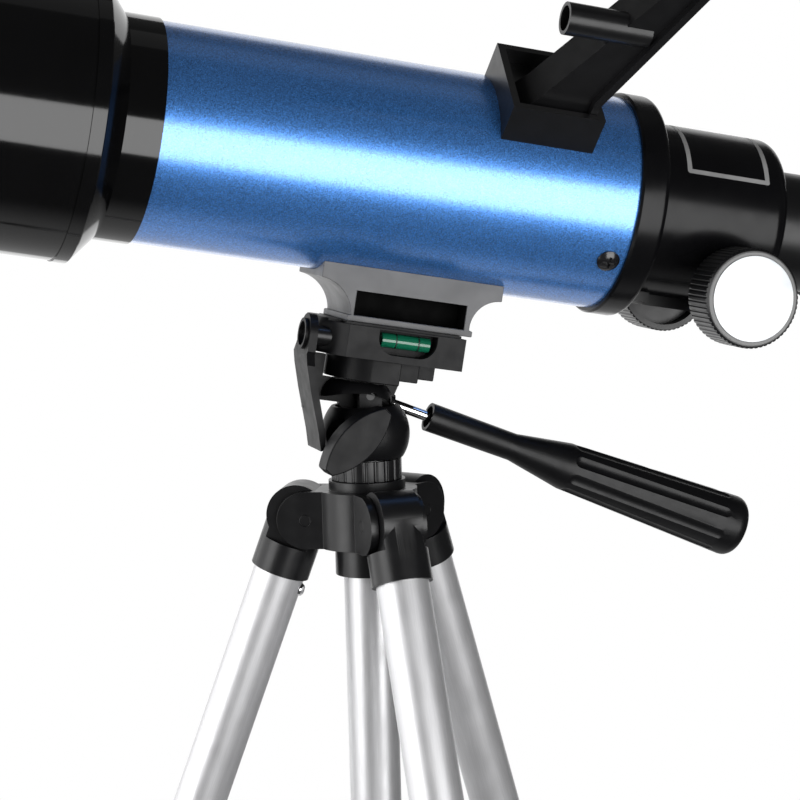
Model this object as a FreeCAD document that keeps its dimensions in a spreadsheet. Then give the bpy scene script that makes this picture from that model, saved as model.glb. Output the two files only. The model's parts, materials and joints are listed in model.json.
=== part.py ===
import FreeCAD, Part
"""Small refracting telescope on a tripod with a pan and tilt head, in millimetres.

+Z is up and the telescope points along -X. The origin is on the ground, under the
centre of the object's box. The tripod is modelled about its centre column, the head
about its tilt axle and the telescope about its optical axis.
"""
import math
import os

import Sketcher
from FreeCAD import Placement, Rotation, Vector

X_AXIS = Vector(1, 0, 0)
Y_AXIS = Vector(0, 1, 0)
Z_AXIS = Vector(0, 0, 1)

# Driving dimensions, in millimetres and degrees. Heights on the tripod are above the
# leg hinges, and "at" and "end" places on the telescope run rearwards along its axis.
SIZES = {
    "column_x": -31.0, "column_y": 33.0, "hinge_height": 345.0,
    # legs
    "hinge_radius": 20.5, "leg_offset": 3.9, "leg_splay": 20.8, "first_leg_angle": -85.0,
    "knuckle_radius": 10.6, "knuckle_width": 14.2, "cheek_radius": 10.0, "cheek_half": 10.2,
    "cheek_gap": 14.8, "swing_gap": 0.35, "hinge_room": 7.1, "hinge_pin_radius": 2.0,
    "cap_radius": 10.5, "cap_top": -10.8, "cap_bottom": -21.8, "cap_seat": -13.0,
    "leg_radius": 9.1, "leg_wall": 1.0,
    "upper_leg_end": -318.0, "lock_radius": 11.6, "lock_top": -304.0, "lock_bottom": -334.0,
    "lock_lip": -320.0, "lower_leg_radius": 7.6, "lower_leg_top": -60.0, "lower_leg_end": -357.0,
    "foot_radius": 10.6, "foot_top": -344.0, "foot_end": -378.0,
    # hub and centre column
    "hub_radius": 17.5, "hub_half": 10.0, "collar_radius": 13.4, "collar_top": 13.3,
    "sleeve_radius": 11.8, "sleeve_bottom": -20.0, "column_radius": 9.0, "column_wall": 1.0,
    "column_top": 20.5, "column_bottom": -150.0, "column_cap_radius": 10.4, "cap_flange": 6.0,
    "fit": 0.05, "lock_ring_radius": 12.3, "lock_ring_bottom": 13.4, "lock_ring_top": 20.55,
    "flute_count": 20.0,
    # head
    "tilt_height": 43.0, "pitch": 10.4, "axis_lift": 78.0, "axis_shift": 14.3,
    "housing_bottom": 21.0, "housing_floor": 27.0, "housing_top": 39.2, "housing_radius": 15.4,
    "housing_foot": 12.9, "housing_lip": 11.7, "housing_bore": 10.5, "spindle_radius": 3.0,
    "spindle_head": 4.3, "ear_in": 4.6, "ear_out": 8.0, "ear_radius": 4.0, "axle_radius": 1.5,
    "lock_x": -9.8, "lock_z": 29.8, "lock_boss_end": -14.5, "lock_screw_radius": 2.0,
    "paddle_back": -17.2, "paddle_face": -27.0, "paddle_half_length": 14.6, "paddle_half_width": 6.3,
    "dome_shift": -2.9, "dome_rim_radius": 12.6, "dome_top_radius": 9.4, "dome_rim": -2.7,
    "dome_top": 4.2, "handle_droop": 12.0, "rod_radius": 1.9, "rod_start": 5.5, "rod_end": 60.0,
    "grip_start": 24.7, "grip_neck_radius": 5.1, "grip_neck_end": 58.0, "grip_waist_radius": 4.9,
    "grip_flare_end": 79.0, "grip_flare_radius": 8.5, "grip_end": 151.0, "grip_radius": 11.1,
    "flute_radius": 4.0, "flute_depth": 0.7,
    "flip_y": -12.0, "flip_height": 18.6, "knuckle_boss": 5.3, "flip_pin_radius": 3.3,
    "arm_outer": -27.4, "arm_wall": 2.8, "arm_back": 3.0, "crown_radius": 7.0, "flip_recess": 4.0,
    "keel_radius": 9.6,
    # platform and tube foot
    "platform_half": 20.0, "platform_rear": 41.8, "platform_top": -53.0, "platform_bottom": -65.0,
    "platform_bulge": 9.4, "carrier_bottom": -73.0, "vial_radius": 2.5, "vial_front": 12.3,
    "vial_rear": 29.7, "vial_drop": -57.8, "foot_half": 16.0, "foot_front": -11.1,
    "foot_rear": 53.8, "base_front": -0.3, "base_rear": 44.8, "foot_web": 1.5, "camera_screw_radius": 3.175,
    # telescope
    "tube_radius": 37.5, "tube_wall": 1.2, "tube_front": -88.0, "tube_rear": 97.0,
    "shield_rear": -76.3, "shield_step": -88.6, "shield_flare": -96.0, "shield_rim": -101.0,
    "shield_front": -178.0, "throat_radius": 38.3, "shield_radius": 47.2, "shield_wall": 2.0,
    "cell_rear": -99.0, "cell_front": -112.0, "cell_radius": 41.0, "lens_radius": 37.0,
    "aperture_radius": 35.0, "lens_rear": -103.0, "lens_front": -110.6, "lens_bulge": 3.0,
    "ring_front": 89.9, "ring_rear": 100.5, "ring_radius": 39.2, "housing_tube_radius": 30.8,
    "housing_wall": 2.8, "focuser_rear": 150.0, "plug_front": 77.0, "drawtube_radius": 20.9,
    "drawtube_wall": 1.6, "drawtube_front": 84.0, "drawtube_rear": 174.0, "rack_front": 84.0,
    "rack_rear": 141.0, "rack_half": 2.5, "shaft_at": 132.5, "pinion_drop": -25.6,
    "pinion_teeth": 12.0, "pinion_radius": 4.0, "shaft_radius": 2.5, "knob_radius": 17.2,
    "knob_inner": 31.0, "knob_outer": 47.5, "plate_radius": 14.9, "plate_face": 48.2,
    "tube_screw_at": 84.0, "tube_screw_angle": 122.0, "tube_screw_radius": 4.0,
    "block_front": 101.5, "block_rear": 145.0, "block_bottom": -33.5, "block_half": 8.5,
    # eyepiece end
    "eyepiece_bore": 15.9, "eyepiece_fit": 15.83, "holder_rear": 194.0, "holder_radius": 19.0,
    "diagonal_front": 196.0, "diagonal_axis": 216.0, "diagonal_half": 18.5, "socket_top": 38.0,
    "eyepiece_top": 64.0,
    # finder
    "finder_angle": 38.0, "saddle_front": 38.5, "saddle_rear": 71.5, "saddle_half": 17.8,
    "saddle_top": 47.0, "finder_height": 122.0, "finder_ring_radius": 19.5, "finder_ring_at": 92.0,
    "finder_ring_length": 12.0, "finder_radius": 12.5, "finder_front": -5.0, "finder_rear": 118.0,
    "boss_height": 78.0, "boss_side": 8.0, "boss_radius": 5.5, "boss_front": 47.5, "boss_rear": 77.0,
}

doc = FreeCAD.newDocument("telescope")
sheet = doc.addObject("Spreadsheet::Sheet", "Sizes")
for row, (alias, number) in enumerate(SIZES.items(), start=1):
    sheet.set(f"A{row}", alias)
    sheet.set(f"B{row}", str(number))
    sheet.setAlias(f"B{row}", alias)
doc.recompute()

subparts = {}


# ---------------------------------------------------------------- sizes and places

def size(alias):
    """One driving dimension, read from the sheet."""
    return float(getattr(sheet, alias))


def terms(text):
    """The signed words of a sum such as 'tube_radius - tube_wall'."""
    sign = "+"
    for word in text.split():
        if word in ("+", "-"):
            sign = word
        else:
            yield sign, word


def value(text):
    """The number that a sum of sheet sizes comes to."""
    total = 0.0
    for sign, word in terms(text):
        number = size(word) if word in SIZES else float(word)
        total += number if sign == "+" else -number
    return total


def bound(text):
    """The same sum as an expression on the sheet's cells."""
    words = [f"{sign} {'Sizes.' + word if word in SIZES else word}" for sign, word in terms(text)]
    return "0 " + " ".join(words)


def shift(x, y, z):
    """A move without a turn."""
    return Placement(Vector(x, y, z), Rotation())


def turn(axis, degrees):
    """A turn about an axis through the origin."""
    return Placement(Vector(), Rotation(axis, degrees))


PITCH = size("pitch")
column_frame = shift(size("column_x"), size("column_y"), size("hinge_height"))
tilt_frame = column_frame * shift(0, 0, size("tilt_height")) * turn(Y_AXIS, PITCH)
scope_frame = tilt_frame * shift(-size("axis_shift"), 0, size("axis_lift"))
along_tube = turn(Y_AXIS, 90)
tube_frame = scope_frame * along_tube
handle_frame = tilt_frame * turn(Y_AXIS, size("handle_droop")) * along_tube
finder_frame = scope_frame * turn(X_AXIS, size("finder_angle"))
shaft_frame = scope_frame * shift(size("shaft_at"), 0, size("pinion_drop")) * turn(X_AXIS, 90)
diagonal_frame = scope_frame * shift(size("diagonal_axis"), 0, 0)


def leg_frame(number):
    """At a leg's hinge: z runs up the leg and x points away from the column."""
    angle = size("first_leg_angle") + 120 * number
    outward = turn(Z_AXIS, angle) * shift(size("hinge_radius"), 0, 0)
    return column_frame * outward * turn(Y_AXIS, -size("leg_splay"))


# ---------------------------------------------------------------- kinds of sub-part

def turned(label, outline, placement):
    """A PartDesign body turned about its own z from (radius, height) sums."""
    body = doc.addObject("PartDesign::Body", label)
    plane = next(item for item in body.Origin.OriginFeatures if item.Role == "XZ_Plane")
    sketch = body.newObject("Sketcher::SketchObject", label + "_outline")
    sketch.AttachmentSupport = [(plane, "")]
    sketch.MapMode = "FlatFace"
    corners = [Vector(value(radius), value(height), 0) for radius, height in outline]
    count = len(corners)
    for index in range(count):
        sketch.addGeometry(Part.LineSegment(corners[index], corners[(index + 1) % count]), False)
    for index in range(count):
        sketch.addConstraint(Sketcher.Constraint("Coincident", index, 2, (index + 1) % count, 1))
    for index, (radius, height) in enumerate(outline):
        for kind, text, axis in (("DistanceX", radius, -2), ("DistanceY", height, -1)):
            if value(text) == 0:
                sketch.addConstraint(Sketcher.Constraint("PointOnObject", index, 1, axis))
                continue
            rule = sketch.addConstraint(Sketcher.Constraint(kind, -1, 1, index, 1, value(text)))
            sketch.setExpression(f"Constraints[{rule}]", bound(text))
    spin = body.newObject("PartDesign::Revolution", label + "_turned")
    spin.Profile = sketch
    spin.ReferenceAxis = (sketch, ["V_Axis"])
    spin.Angle = 360
    body.Placement = placement
    subparts[label] = body
    return body


def rounded(body, rims, radius):
    """Round the circular edges of a turned body at the given (radius, height) sums."""
    doc.recompute()
    base = body.Tip
    places = [(value(rim), value(height)) for rim, height in rims]
    names = []
    for number, edge in enumerate(base.Shape.Edges, start=1):
        if isinstance(edge.Curve, Part.Circle):
            here = (edge.Curve.Radius, edge.Curve.Center.z)
            if any(math.dist(here, place) < 0.01 for place in places):
                names.append(f"Edge{number}")
    fillet = body.newObject("PartDesign::Fillet", body.Name + f"_round_{len(body.Group)}")
    fillet.Base = (base, names)
    fillet.Radius = radius
    body.Tip = fillet


def plain_rod(label, radius, length, placement):
    """A round bar whose radius and length are sums of sheet sizes."""
    rod = doc.addObject("Part::Cylinder", label)
    rod.setExpression("Radius", bound(radius))
    rod.setExpression("Height", bound(length))
    rod.Placement = placement
    subparts[label] = rod
    return rod


def plain_tube(label, outer, inner, length, placement):
    """A round tube, cut from two cylinders."""
    wall = doc.addObject("Part::Cylinder", label + "_outside")
    hollow = doc.addObject("Part::Cylinder", label + "_inside")
    for cylinder, radius in ((wall, outer), (hollow, inner)):
        cylinder.setExpression("Radius", bound(radius))
        cylinder.setExpression("Height", bound(length))
    tube = doc.addObject("Part::Cut", label)
    tube.Base = wall
    tube.Tool = hollow
    tube.Placement = placement
    subparts[label] = tube
    return tube


def drilled(label, holes):
    """Cut holes, given in the telescope's frame, out of a sub-part made before."""
    drill = doc.addObject("Part::Feature", label + "_drill")
    drill.Shape = Part.makeCompound(holes)
    drill.Placement = scope_frame
    whole = doc.addObject("Part::Cut", label + "_drilled")
    whole.Base = subparts[label]
    whole.Tool = drill
    subparts[label].Label = label + "_blank"
    subparts[label] = whole


def shaped(label, shape, placement):
    """A sub-part whose shape is made in code from the sheet's sizes."""
    part = doc.addObject("Part::Feature", label)
    solid = shape if shape.ShapeType == "Compound" else shape.removeSplitter()
    part.Shape = solid
    part.Placement = placement * solid.Placement
    subparts[label] = part
    return part


def cylinder(radius, low, high, axis=Z_AXIS, at=Vector()):
    """A cylinder along an axis, from one distance to another."""
    return Part.makeCylinder(radius, high - low, at + axis * low, axis)


def block(x, y, z):
    """A box from its (low, high) pairs."""
    low = Vector(x[0], y[0], z[0])
    return Part.makeBox(x[1] - x[0], y[1] - y[0], z[1] - z[0], low)


def slab(corners, low, high):
    """A flat plate across Y from (x, z) corners; a corner of four numbers ends an arc via the last two."""
    edges = []
    for index, corner in enumerate(corners):
        start = corners[index - 1]
        first = Vector(start[0], low, start[1])
        last = Vector(corner[0], low, corner[1])
        if len(corner) == 4:
            edges.append(Part.Arc(first, Vector(corner[2], low, corner[3]), last).toShape())
        else:
            edges.append(Part.makeLine(first, last))
    return Part.Face(Part.Wire(edges)).extrude(Vector(0, high - low, 0))


def spun(corners):
    """A solid turned about z from (radius, height) corners, arcs as in slab."""
    edges = []
    for index, corner in enumerate(corners):
        start = corners[index - 1]
        first = Vector(start[0], 0, start[1])
        last = Vector(corner[0], 0, corner[1])
        if len(corner) == 4:
            edges.append(Part.Arc(first, Vector(corner[2], 0, corner[3]), last).toShape())
        else:
            edges.append(Part.makeLine(first, last))
    return Part.Face(Part.Wire(edges)).revolve(Vector(), Z_AXIS, 360)


def around(shape, count, start=0.0):
    """Copies of a shape, evenly turned about z."""
    copies = []
    for index in range(count):
        copy = shape.copy()
        copy.rotate(Vector(), Z_AXIS, start + 360 * index / count)
        copies.append(copy)
    return copies


def placed(shape, placement):
    """The shape moved to a placement."""
    moved = shape.copy()
    moved.Placement = placement * moved.Placement
    return moved


# ---------------------------------------------------------------- tripod legs and hub

def make_hub():
    """The spider: a collared hub with a two-cheeked clevis for each leg."""
    half = size("hub_half")
    gap = size("swing_gap")
    reach = size("hinge_radius")
    hub = cylinder(size("hub_radius"), -half, half)
    hub = hub.fuse(cylinder(size("collar_radius"), half, size("collar_top")))
    hub = hub.fuse(cylinder(size("sleeve_radius"), size("sleeve_bottom"), -half))
    hinge = Vector(reach, 0, 0)
    outer = size("cheek_half")
    inner = size("cheek_gap") / 2
    clevis = cylinder(size("cheek_radius"), -outer, outer, Y_AXIS, hinge)
    clevis = clevis.fuse(block((size("column_radius") + 2, reach), (-outer, outer), (-half, half)))
    hub = hub.fuse(around(clevis, 3, size("first_leg_angle")))
    swing = cylinder(size("hinge_pin_radius") + 0.03, -outer, outer, Y_AXIS, hinge)
    for lean in (0, size("leg_splay")):
        barrel_at = hinge + turn(Y_AXIS, -lean).multVec(Vector(size("leg_offset"), 0, 0))
        swing = swing.fuse(cylinder(size("knuckle_radius") + gap, -inner, inner, Y_AXIS, barrel_at))
    swing = swing.fuse(block((reach - size("hinge_room"), reach + 12), (-inner, inner), (-half - 1, 0)))
    swing = swing.fuse(block((reach, reach + 12), (-inner, inner), (-half - 1, half + 1)))
    hub = hub.cut(around(swing, 3, size("first_leg_angle")))
    bore = cylinder(size("column_radius") + size("fit"), size("sleeve_bottom"), size("collar_top"))
    return shaped("hub", hub.cut(bore), column_frame)


def make_hinge_pins():
    """One pin through each clevis."""
    hinge = Vector(size("hinge_radius"), 0, 0)
    outer = size("cheek_half")
    pin = cylinder(size("hinge_pin_radius"), -outer, outer, Y_AXIS, hinge)
    shaped("hinge_pins", Part.makeCompound(around(pin, 3, size("first_leg_angle"))), column_frame)


def make_leg_cap(number):
    """The cap that joins a leg tube to its hinge barrel."""
    half = size("knuckle_width") / 2
    offset = Vector(size("leg_offset"), 0, 0)
    cap = cylinder(size("cap_radius"), size("cap_bottom"), size("cap_top"), Z_AXIS, offset)
    neck = cylinder(size("cap_radius"), size("cap_top"), 0, Z_AXIS, offset)
    neck = neck.common(block((-20, 20), (-half, half), (size("cap_top"), 0)))
    barrel = cylinder(size("knuckle_radius"), -half, half, Y_AXIS, offset)
    cap = cap.fuse([neck, barrel])
    cap = cap.cut(cylinder(size("leg_radius"), size("cap_bottom"), size("cap_seat"), Z_AXIS, offset))
    cap = cap.cut(cylinder(size("hinge_pin_radius") + size("fit"), -half, half, Y_AXIS))
    shaped(f"leg_cap_{number + 1}", cap, leg_frame(number))


def make_leg(number):
    """One leg: cap, upper tube, lock collar, lower tube and rubber foot."""
    make_leg_cap(number)
    frame = leg_frame(number) * shift(size("leg_offset"), 0, 0)
    name = str(number + 1)
    plain_tube("upper_leg_" + name, "leg_radius", "leg_radius - leg_wall",
               "cap_seat - upper_leg_end", frame * shift(0, 0, size("upper_leg_end")))
    lock = turned("leg_lock_" + name, [
        ("leg_radius + fit", "lock_top"), ("lock_radius - 1", "lock_top"),
        ("lock_radius", "lock_top - 2"), ("lock_radius", "lock_bottom + 3"),
        ("lock_radius - 1.6", "lock_bottom"), ("lower_leg_radius + fit", "lock_bottom"),
        ("lower_leg_radius + fit", "lock_lip"), ("leg_radius + fit", "lock_lip")], frame)
    rounded(lock, [("lock_radius", "lock_top - 2")], 0.8)
    plain_tube("lower_leg_" + name, "lower_leg_radius", "lower_leg_radius - leg_wall",
               "lower_leg_top - lower_leg_end", frame * shift(0, 0, size("lower_leg_end")))
    foot = spun([
        (0, size("foot_end")), (size("foot_radius"), size("foot_end")),
        (size("foot_radius"), -360), (size("foot_radius") - 1.6, size("foot_top") - 3),
        (size("foot_radius") - 2.2, size("foot_top")), (size("lower_leg_radius"), size("foot_top")),
        (size("lower_leg_radius"), size("lower_leg_end")), (0, size("lower_leg_end"))])
    for groove in range(3):
        depth = -358 - 3.4 * groove
        ring = cylinder(size("foot_radius") + 1, depth - 0.7, depth + 0.7)
        ring = ring.cut(cylinder(size("foot_radius") - 0.9, depth - 0.7, depth + 0.7))
        foot = foot.cut(ring)
    ground = placed(block((-400, 400), (-400, 400), (-100, 0)), frame.inverse())
    shaped("rubber_foot_" + name, foot.cut(ground), frame)


# ---------------------------------------------------------------- centre column and lock ring

def make_column():
    """The sliding column, its end cap, its lock ring and the spindle that carries the head."""
    plain_tube("centre_column", "column_radius", "column_radius - column_wall",
               "column_top - column_bottom", column_frame * shift(0, 0, size("column_bottom")))
    cap = turned("column_cap", [
        ("0", "column_bottom - cap_flange"), ("column_cap_radius - 2", "column_bottom - cap_flange"),
        ("column_cap_radius", "column_bottom - 4"), ("column_cap_radius", "column_bottom"),
        ("column_radius - column_wall", "column_bottom"),
        ("column_radius - column_wall", "column_bottom + 9"), ("0", "column_bottom + 9")],
        column_frame)
    rounded(cap, [("column_cap_radius", "column_bottom - 4")], 0.8)
    turned("head_spindle", [
        ("0", "column_top - 12"), ("column_radius - column_wall", "column_top - 12"),
        ("column_radius - column_wall", "column_top"), ("column_radius", "column_top"),
        ("column_radius", "housing_bottom - 0.05"), ("spindle_radius", "housing_bottom - 0.05"),
        ("spindle_radius", "housing_floor + 0.2"), ("spindle_head", "housing_floor + 0.2"),
        ("spindle_head", "housing_floor + 2.6"), ("0", "housing_floor + 2.6")], column_frame)
    low = size("lock_ring_bottom")
    high = size("lock_ring_top")
    radius = size("lock_ring_radius")
    ring = cylinder(radius, low, high)
    flute = cylinder(0.95, low - 1, high + 1, Z_AXIS, Vector(radius + 0.45, 0, 0))
    ring = ring.cut(around(flute, int(size("flute_count"))))
    ring = ring.cut(cylinder(size("column_radius") + size("fit"), low, high))
    shaped("column_lock_ring", ring, column_frame)


# ---------------------------------------------------------------- pan head

def make_pan_housing():
    """The round pan housing: a cup on the spindle with two ears for the tilt axle."""
    bottom = size("housing_bottom")
    floor = size("housing_floor")
    top = size("housing_top")
    bore = size("housing_bore")
    lip = size("housing_lip")
    cup = spun([
        (0, bottom), (size("housing_foot"), bottom),
        (lip, top, size("housing_radius"), 30.0), (bore, top), (bore, floor), (0, floor)])
    lock = Vector(size("lock_x"), 0, size("lock_z"))
    boss = cylinder(4.6, size("lock_boss_end"), -4, Y_AXIS, lock)
    flare = Part.makeCone(6.6, 4.6, 4.0, lock + Vector(0, -8.5, 0), Vector(0, -1, 0))
    ears = []
    for low, high in ((size("ear_in"), size("ear_out")), (-size("ear_out"), -size("ear_in"))):
        ear = block((-size("ear_radius"), size("ear_radius")), (low, high), (floor - 1, size("tilt_height")))
        tip = cylinder(size("ear_radius"), low, high, Y_AXIS, Vector(0, 0, size("tilt_height")))
        ears.append(ear.fuse(tip))
    cup = cup.fuse([boss, flare] + ears)
    pivot = Vector(0, 0, size("tilt_height"))
    cup = cup.cut(cylinder(size("axle_radius") + 0.03, -10, 10, Y_AXIS, pivot))
    cup = cup.cut(cylinder(size("spindle_radius") + size("fit"), bottom, floor))
    cup = cup.cut(cylinder(size("lock_screw_radius") + 0.03, size("lock_boss_end"), -5.5, Y_AXIS, lock))
    rod_slot = size("rod_radius") + 0.7
    cup = cup.cut(block((6, 20), (-rod_slot, rod_slot), (floor + 1.5, top + 1)))
    shaped("pan_housing", cup, column_frame)
    axle = size("ear_out")
    shaped("tilt_axle", cylinder(size("axle_radius"), -axle, axle, Y_AXIS, pivot), column_frame)


def make_pan_lock():
    """The clamp screw with its washer, and the paddle knob on it."""
    lock = Vector(size("lock_x"), 0, size("lock_z"))
    washer_front = size("lock_boss_end") - 1.1
    screw = cylinder(size("lock_screw_radius"), size("paddle_face") + 4, -6, Y_AXIS, lock)
    screw = screw.fuse(cylinder(3.9, washer_front, size("lock_boss_end") - 0.15, Y_AXIS, lock))
    shaped("pan_lock_screw", screw, column_frame)
    long = size("paddle_half_length")
    wide = size("paddle_half_width")
    tip = 1.6
    face = slab([(-long, -tip), (long, -tip, 0, -wide), (long, tip), (-long, tip, 0, wide)],
                size("paddle_face"), size("paddle_back"))
    hub = cylinder(4.4, size("paddle_back") - 0.5, washer_front, Y_AXIS)
    knob = face.fuse(hub)
    knob.rotate(Vector(), Y_AXIS, -42)
    knob = knob.cut(cylinder(size("lock_screw_radius"), size("paddle_face") + 4, -6, Y_AXIS))
    knob.translate(lock)
    shaped("pan_lock_knob", knob, column_frame)


# ---------------------------------------------------------------- tilt head and handle

def make_tilt_body():
    """The tilt casting: a skirted dome on the axle and an arm that carries the platform."""
    centre = size("dome_shift")
    rim = size("dome_rim")
    top = size("dome_top")
    dome = spun([(0, rim), (size("dome_rim_radius"), rim),
                 (size("dome_top_radius"), top, size("dome_rim_radius") - 0.7, rim + 4.2), (0, top)])
    dome.translate(Vector(centre, 0, 0))
    arch = 26.0
    dome = dome.cut(cylinder(arch, -20, 20, Y_AXIS, Vector(centre, 0, 0.7 - arch)))
    outer = size("arm_outer")
    wall = size("arm_wall")
    flip = Vector(0, size("flip_y"), size("flip_height"))
    arm_side = [(outer, 24.0), (outer, 12.0), (outer + 1.6, 8.0), (outer + 4.2, -0.5), (outer + 9.1, -14.5),
                (outer + 10.8, -20.5), (outer + 12.2, -20.0), (outer + 11.6, -14.5),
                (outer + 6.9, -0.5), (outer + 4.4, 8.0), (outer + wall, 12.0), (outer + wall, 24.0)]
    flip_z = size("flip_height")
    crown = size("crown_radius")
    face = [Vector(0, size("flip_y") - crown, flip_z), Vector(0, size("flip_y") + crown, flip_z),
            Vector(0, size("arm_back"), 8.0), Vector(0, size("arm_back"), -30.0),
            Vector(0, -15.0, -30.0), Vector(0, -15.0, 8.0), Vector(0, size("flip_y") - crown, 13.0)]
    taper = Part.Face(Part.makePolygon(face + face[:1])).extrude(Vector(2 * outer, 0, 0))
    arm = slab(arm_side, size("flip_y") - crown, size("arm_back")).common(taper)
    arm = arm.fuse(cylinder(crown, outer, outer + wall, X_AXIS, flip))
    web = slab([(outer + 2.5, 12.0), (-15.8, 12.0), (-15.8, 4.4), (-8.0, 4.1), (-4.0, 1.5), (-4.0, -4.0),
                (-15.6, -4.0), (outer + 6.5, -7.5)], size("arm_back") - 3, size("arm_back"))
    keel = cylinder(size("keel_radius"), size("arm_back") - 3, size("arm_back"), Y_AXIS)
    web = web.fuse(keel.common(block((-12, 12), (-12, 12), (-12, 0))))
    boss = cylinder(size("knuckle_boss"), outer - 1.2, outer + 3.2, X_AXIS, flip)
    lug_half = size("ear_in") - 0.2
    lug = cylinder(size("ear_radius"), -lug_half, lug_half, Y_AXIS)
    socket = placed(cylinder(3.3, 0, 10.5), turn(Y_AXIS, size("handle_droop")) * along_tube)
    gusset = slab([(4.5, top), (11.0, top), (9.4, -1.4), (5.0, -1.4)], -2.2, 2.2)
    body = dome.fuse([arm, web, boss, lug, socket, gusset])
    ear_slots = (
        (size("ear_in") - 0.2, size("ear_out") + 0.3),
        (-size("ear_out") - 0.3, 0.2 - size("ear_in")),
    )
    for low, high in ear_slots:
        slot = cylinder(size("ear_radius") + 0.4, low, high, Y_AXIS)
        slot = slot.fuse(block((-7.5, 7.5), (low, high), (-9, 0)))
        body = body.cut(slot)
    body = body.cut(cylinder(size("axle_radius") + size("fit"), -12, 12, Y_AXIS))
    body = body.cut(cylinder(size("flip_pin_radius"), outer - 2, outer + 8, X_AXIS, flip))
    recess = outer + size("flip_recess")
    body = body.cut(cylinder(size("knuckle_boss") - 1.1, outer - 2, recess, X_AXIS, flip))
    bore = cylinder(size("rod_radius") + 0.03, size("rod_start"), 16)
    body = body.cut(placed(bore, turn(Y_AXIS, size("handle_droop")) * along_tube))
    shaped("tilt_body", body, tilt_frame)
    pin = cylinder(size("flip_pin_radius"), recess - 0.6, outer + 17, X_AXIS, flip)
    pin = pin.cut(cylinder(1.4, recess - 0.6, recess + 1.4, X_AXIS, flip))
    shaped("flip_axle", pin, tilt_frame)


def make_handle():
    """The pan handle: a chrome rod and a fluted grip, turned to lock the tilt."""
    rod_place = handle_frame * shift(0, 0, size("rod_start"))
    plain_rod("handle_rod", "rod_radius", "rod_end - rod_start", rod_place)
    start = size("grip_start")
    flare = size("grip_flare_end")
    end = size("grip_end")
    grip = spun([
        (size("rod_radius"), start + 6), (3.9, start + 6), (3.9, start), (size("grip_neck_radius"), start),
        (size("grip_waist_radius"), size("grip_neck_end")),
        (size("grip_flare_radius"), flare), (size("grip_radius"), end - 4.5),
        (6.6, end, size("grip_radius") - 1.3, end - 1.3), (0, end), (0, size("rod_end")),
        (size("rod_radius"), size("rod_end"))])
    reach = end - 10 - flare
    lean = math.degrees(math.atan2(size("grip_radius") - size("grip_flare_radius"), reach))
    broad = size("flute_radius")
    flute = cylinder(broad, 0, reach - 4).fuse([
        Part.makeSphere(broad, Vector(0, 0, 0)), Part.makeSphere(broad, Vector(0, 0, reach - 4))])
    start_at = size("grip_flare_radius") + broad - size("flute_depth")
    flute = placed(flute, shift(start_at, 0, flare + 3) * turn(Y_AXIS, lean))
    grip = grip.cut(around(flute, 8, 22.5))
    shaped("handle_grip", grip, handle_frame)


# ---------------------------------------------------------------- platform and tube foot

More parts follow.
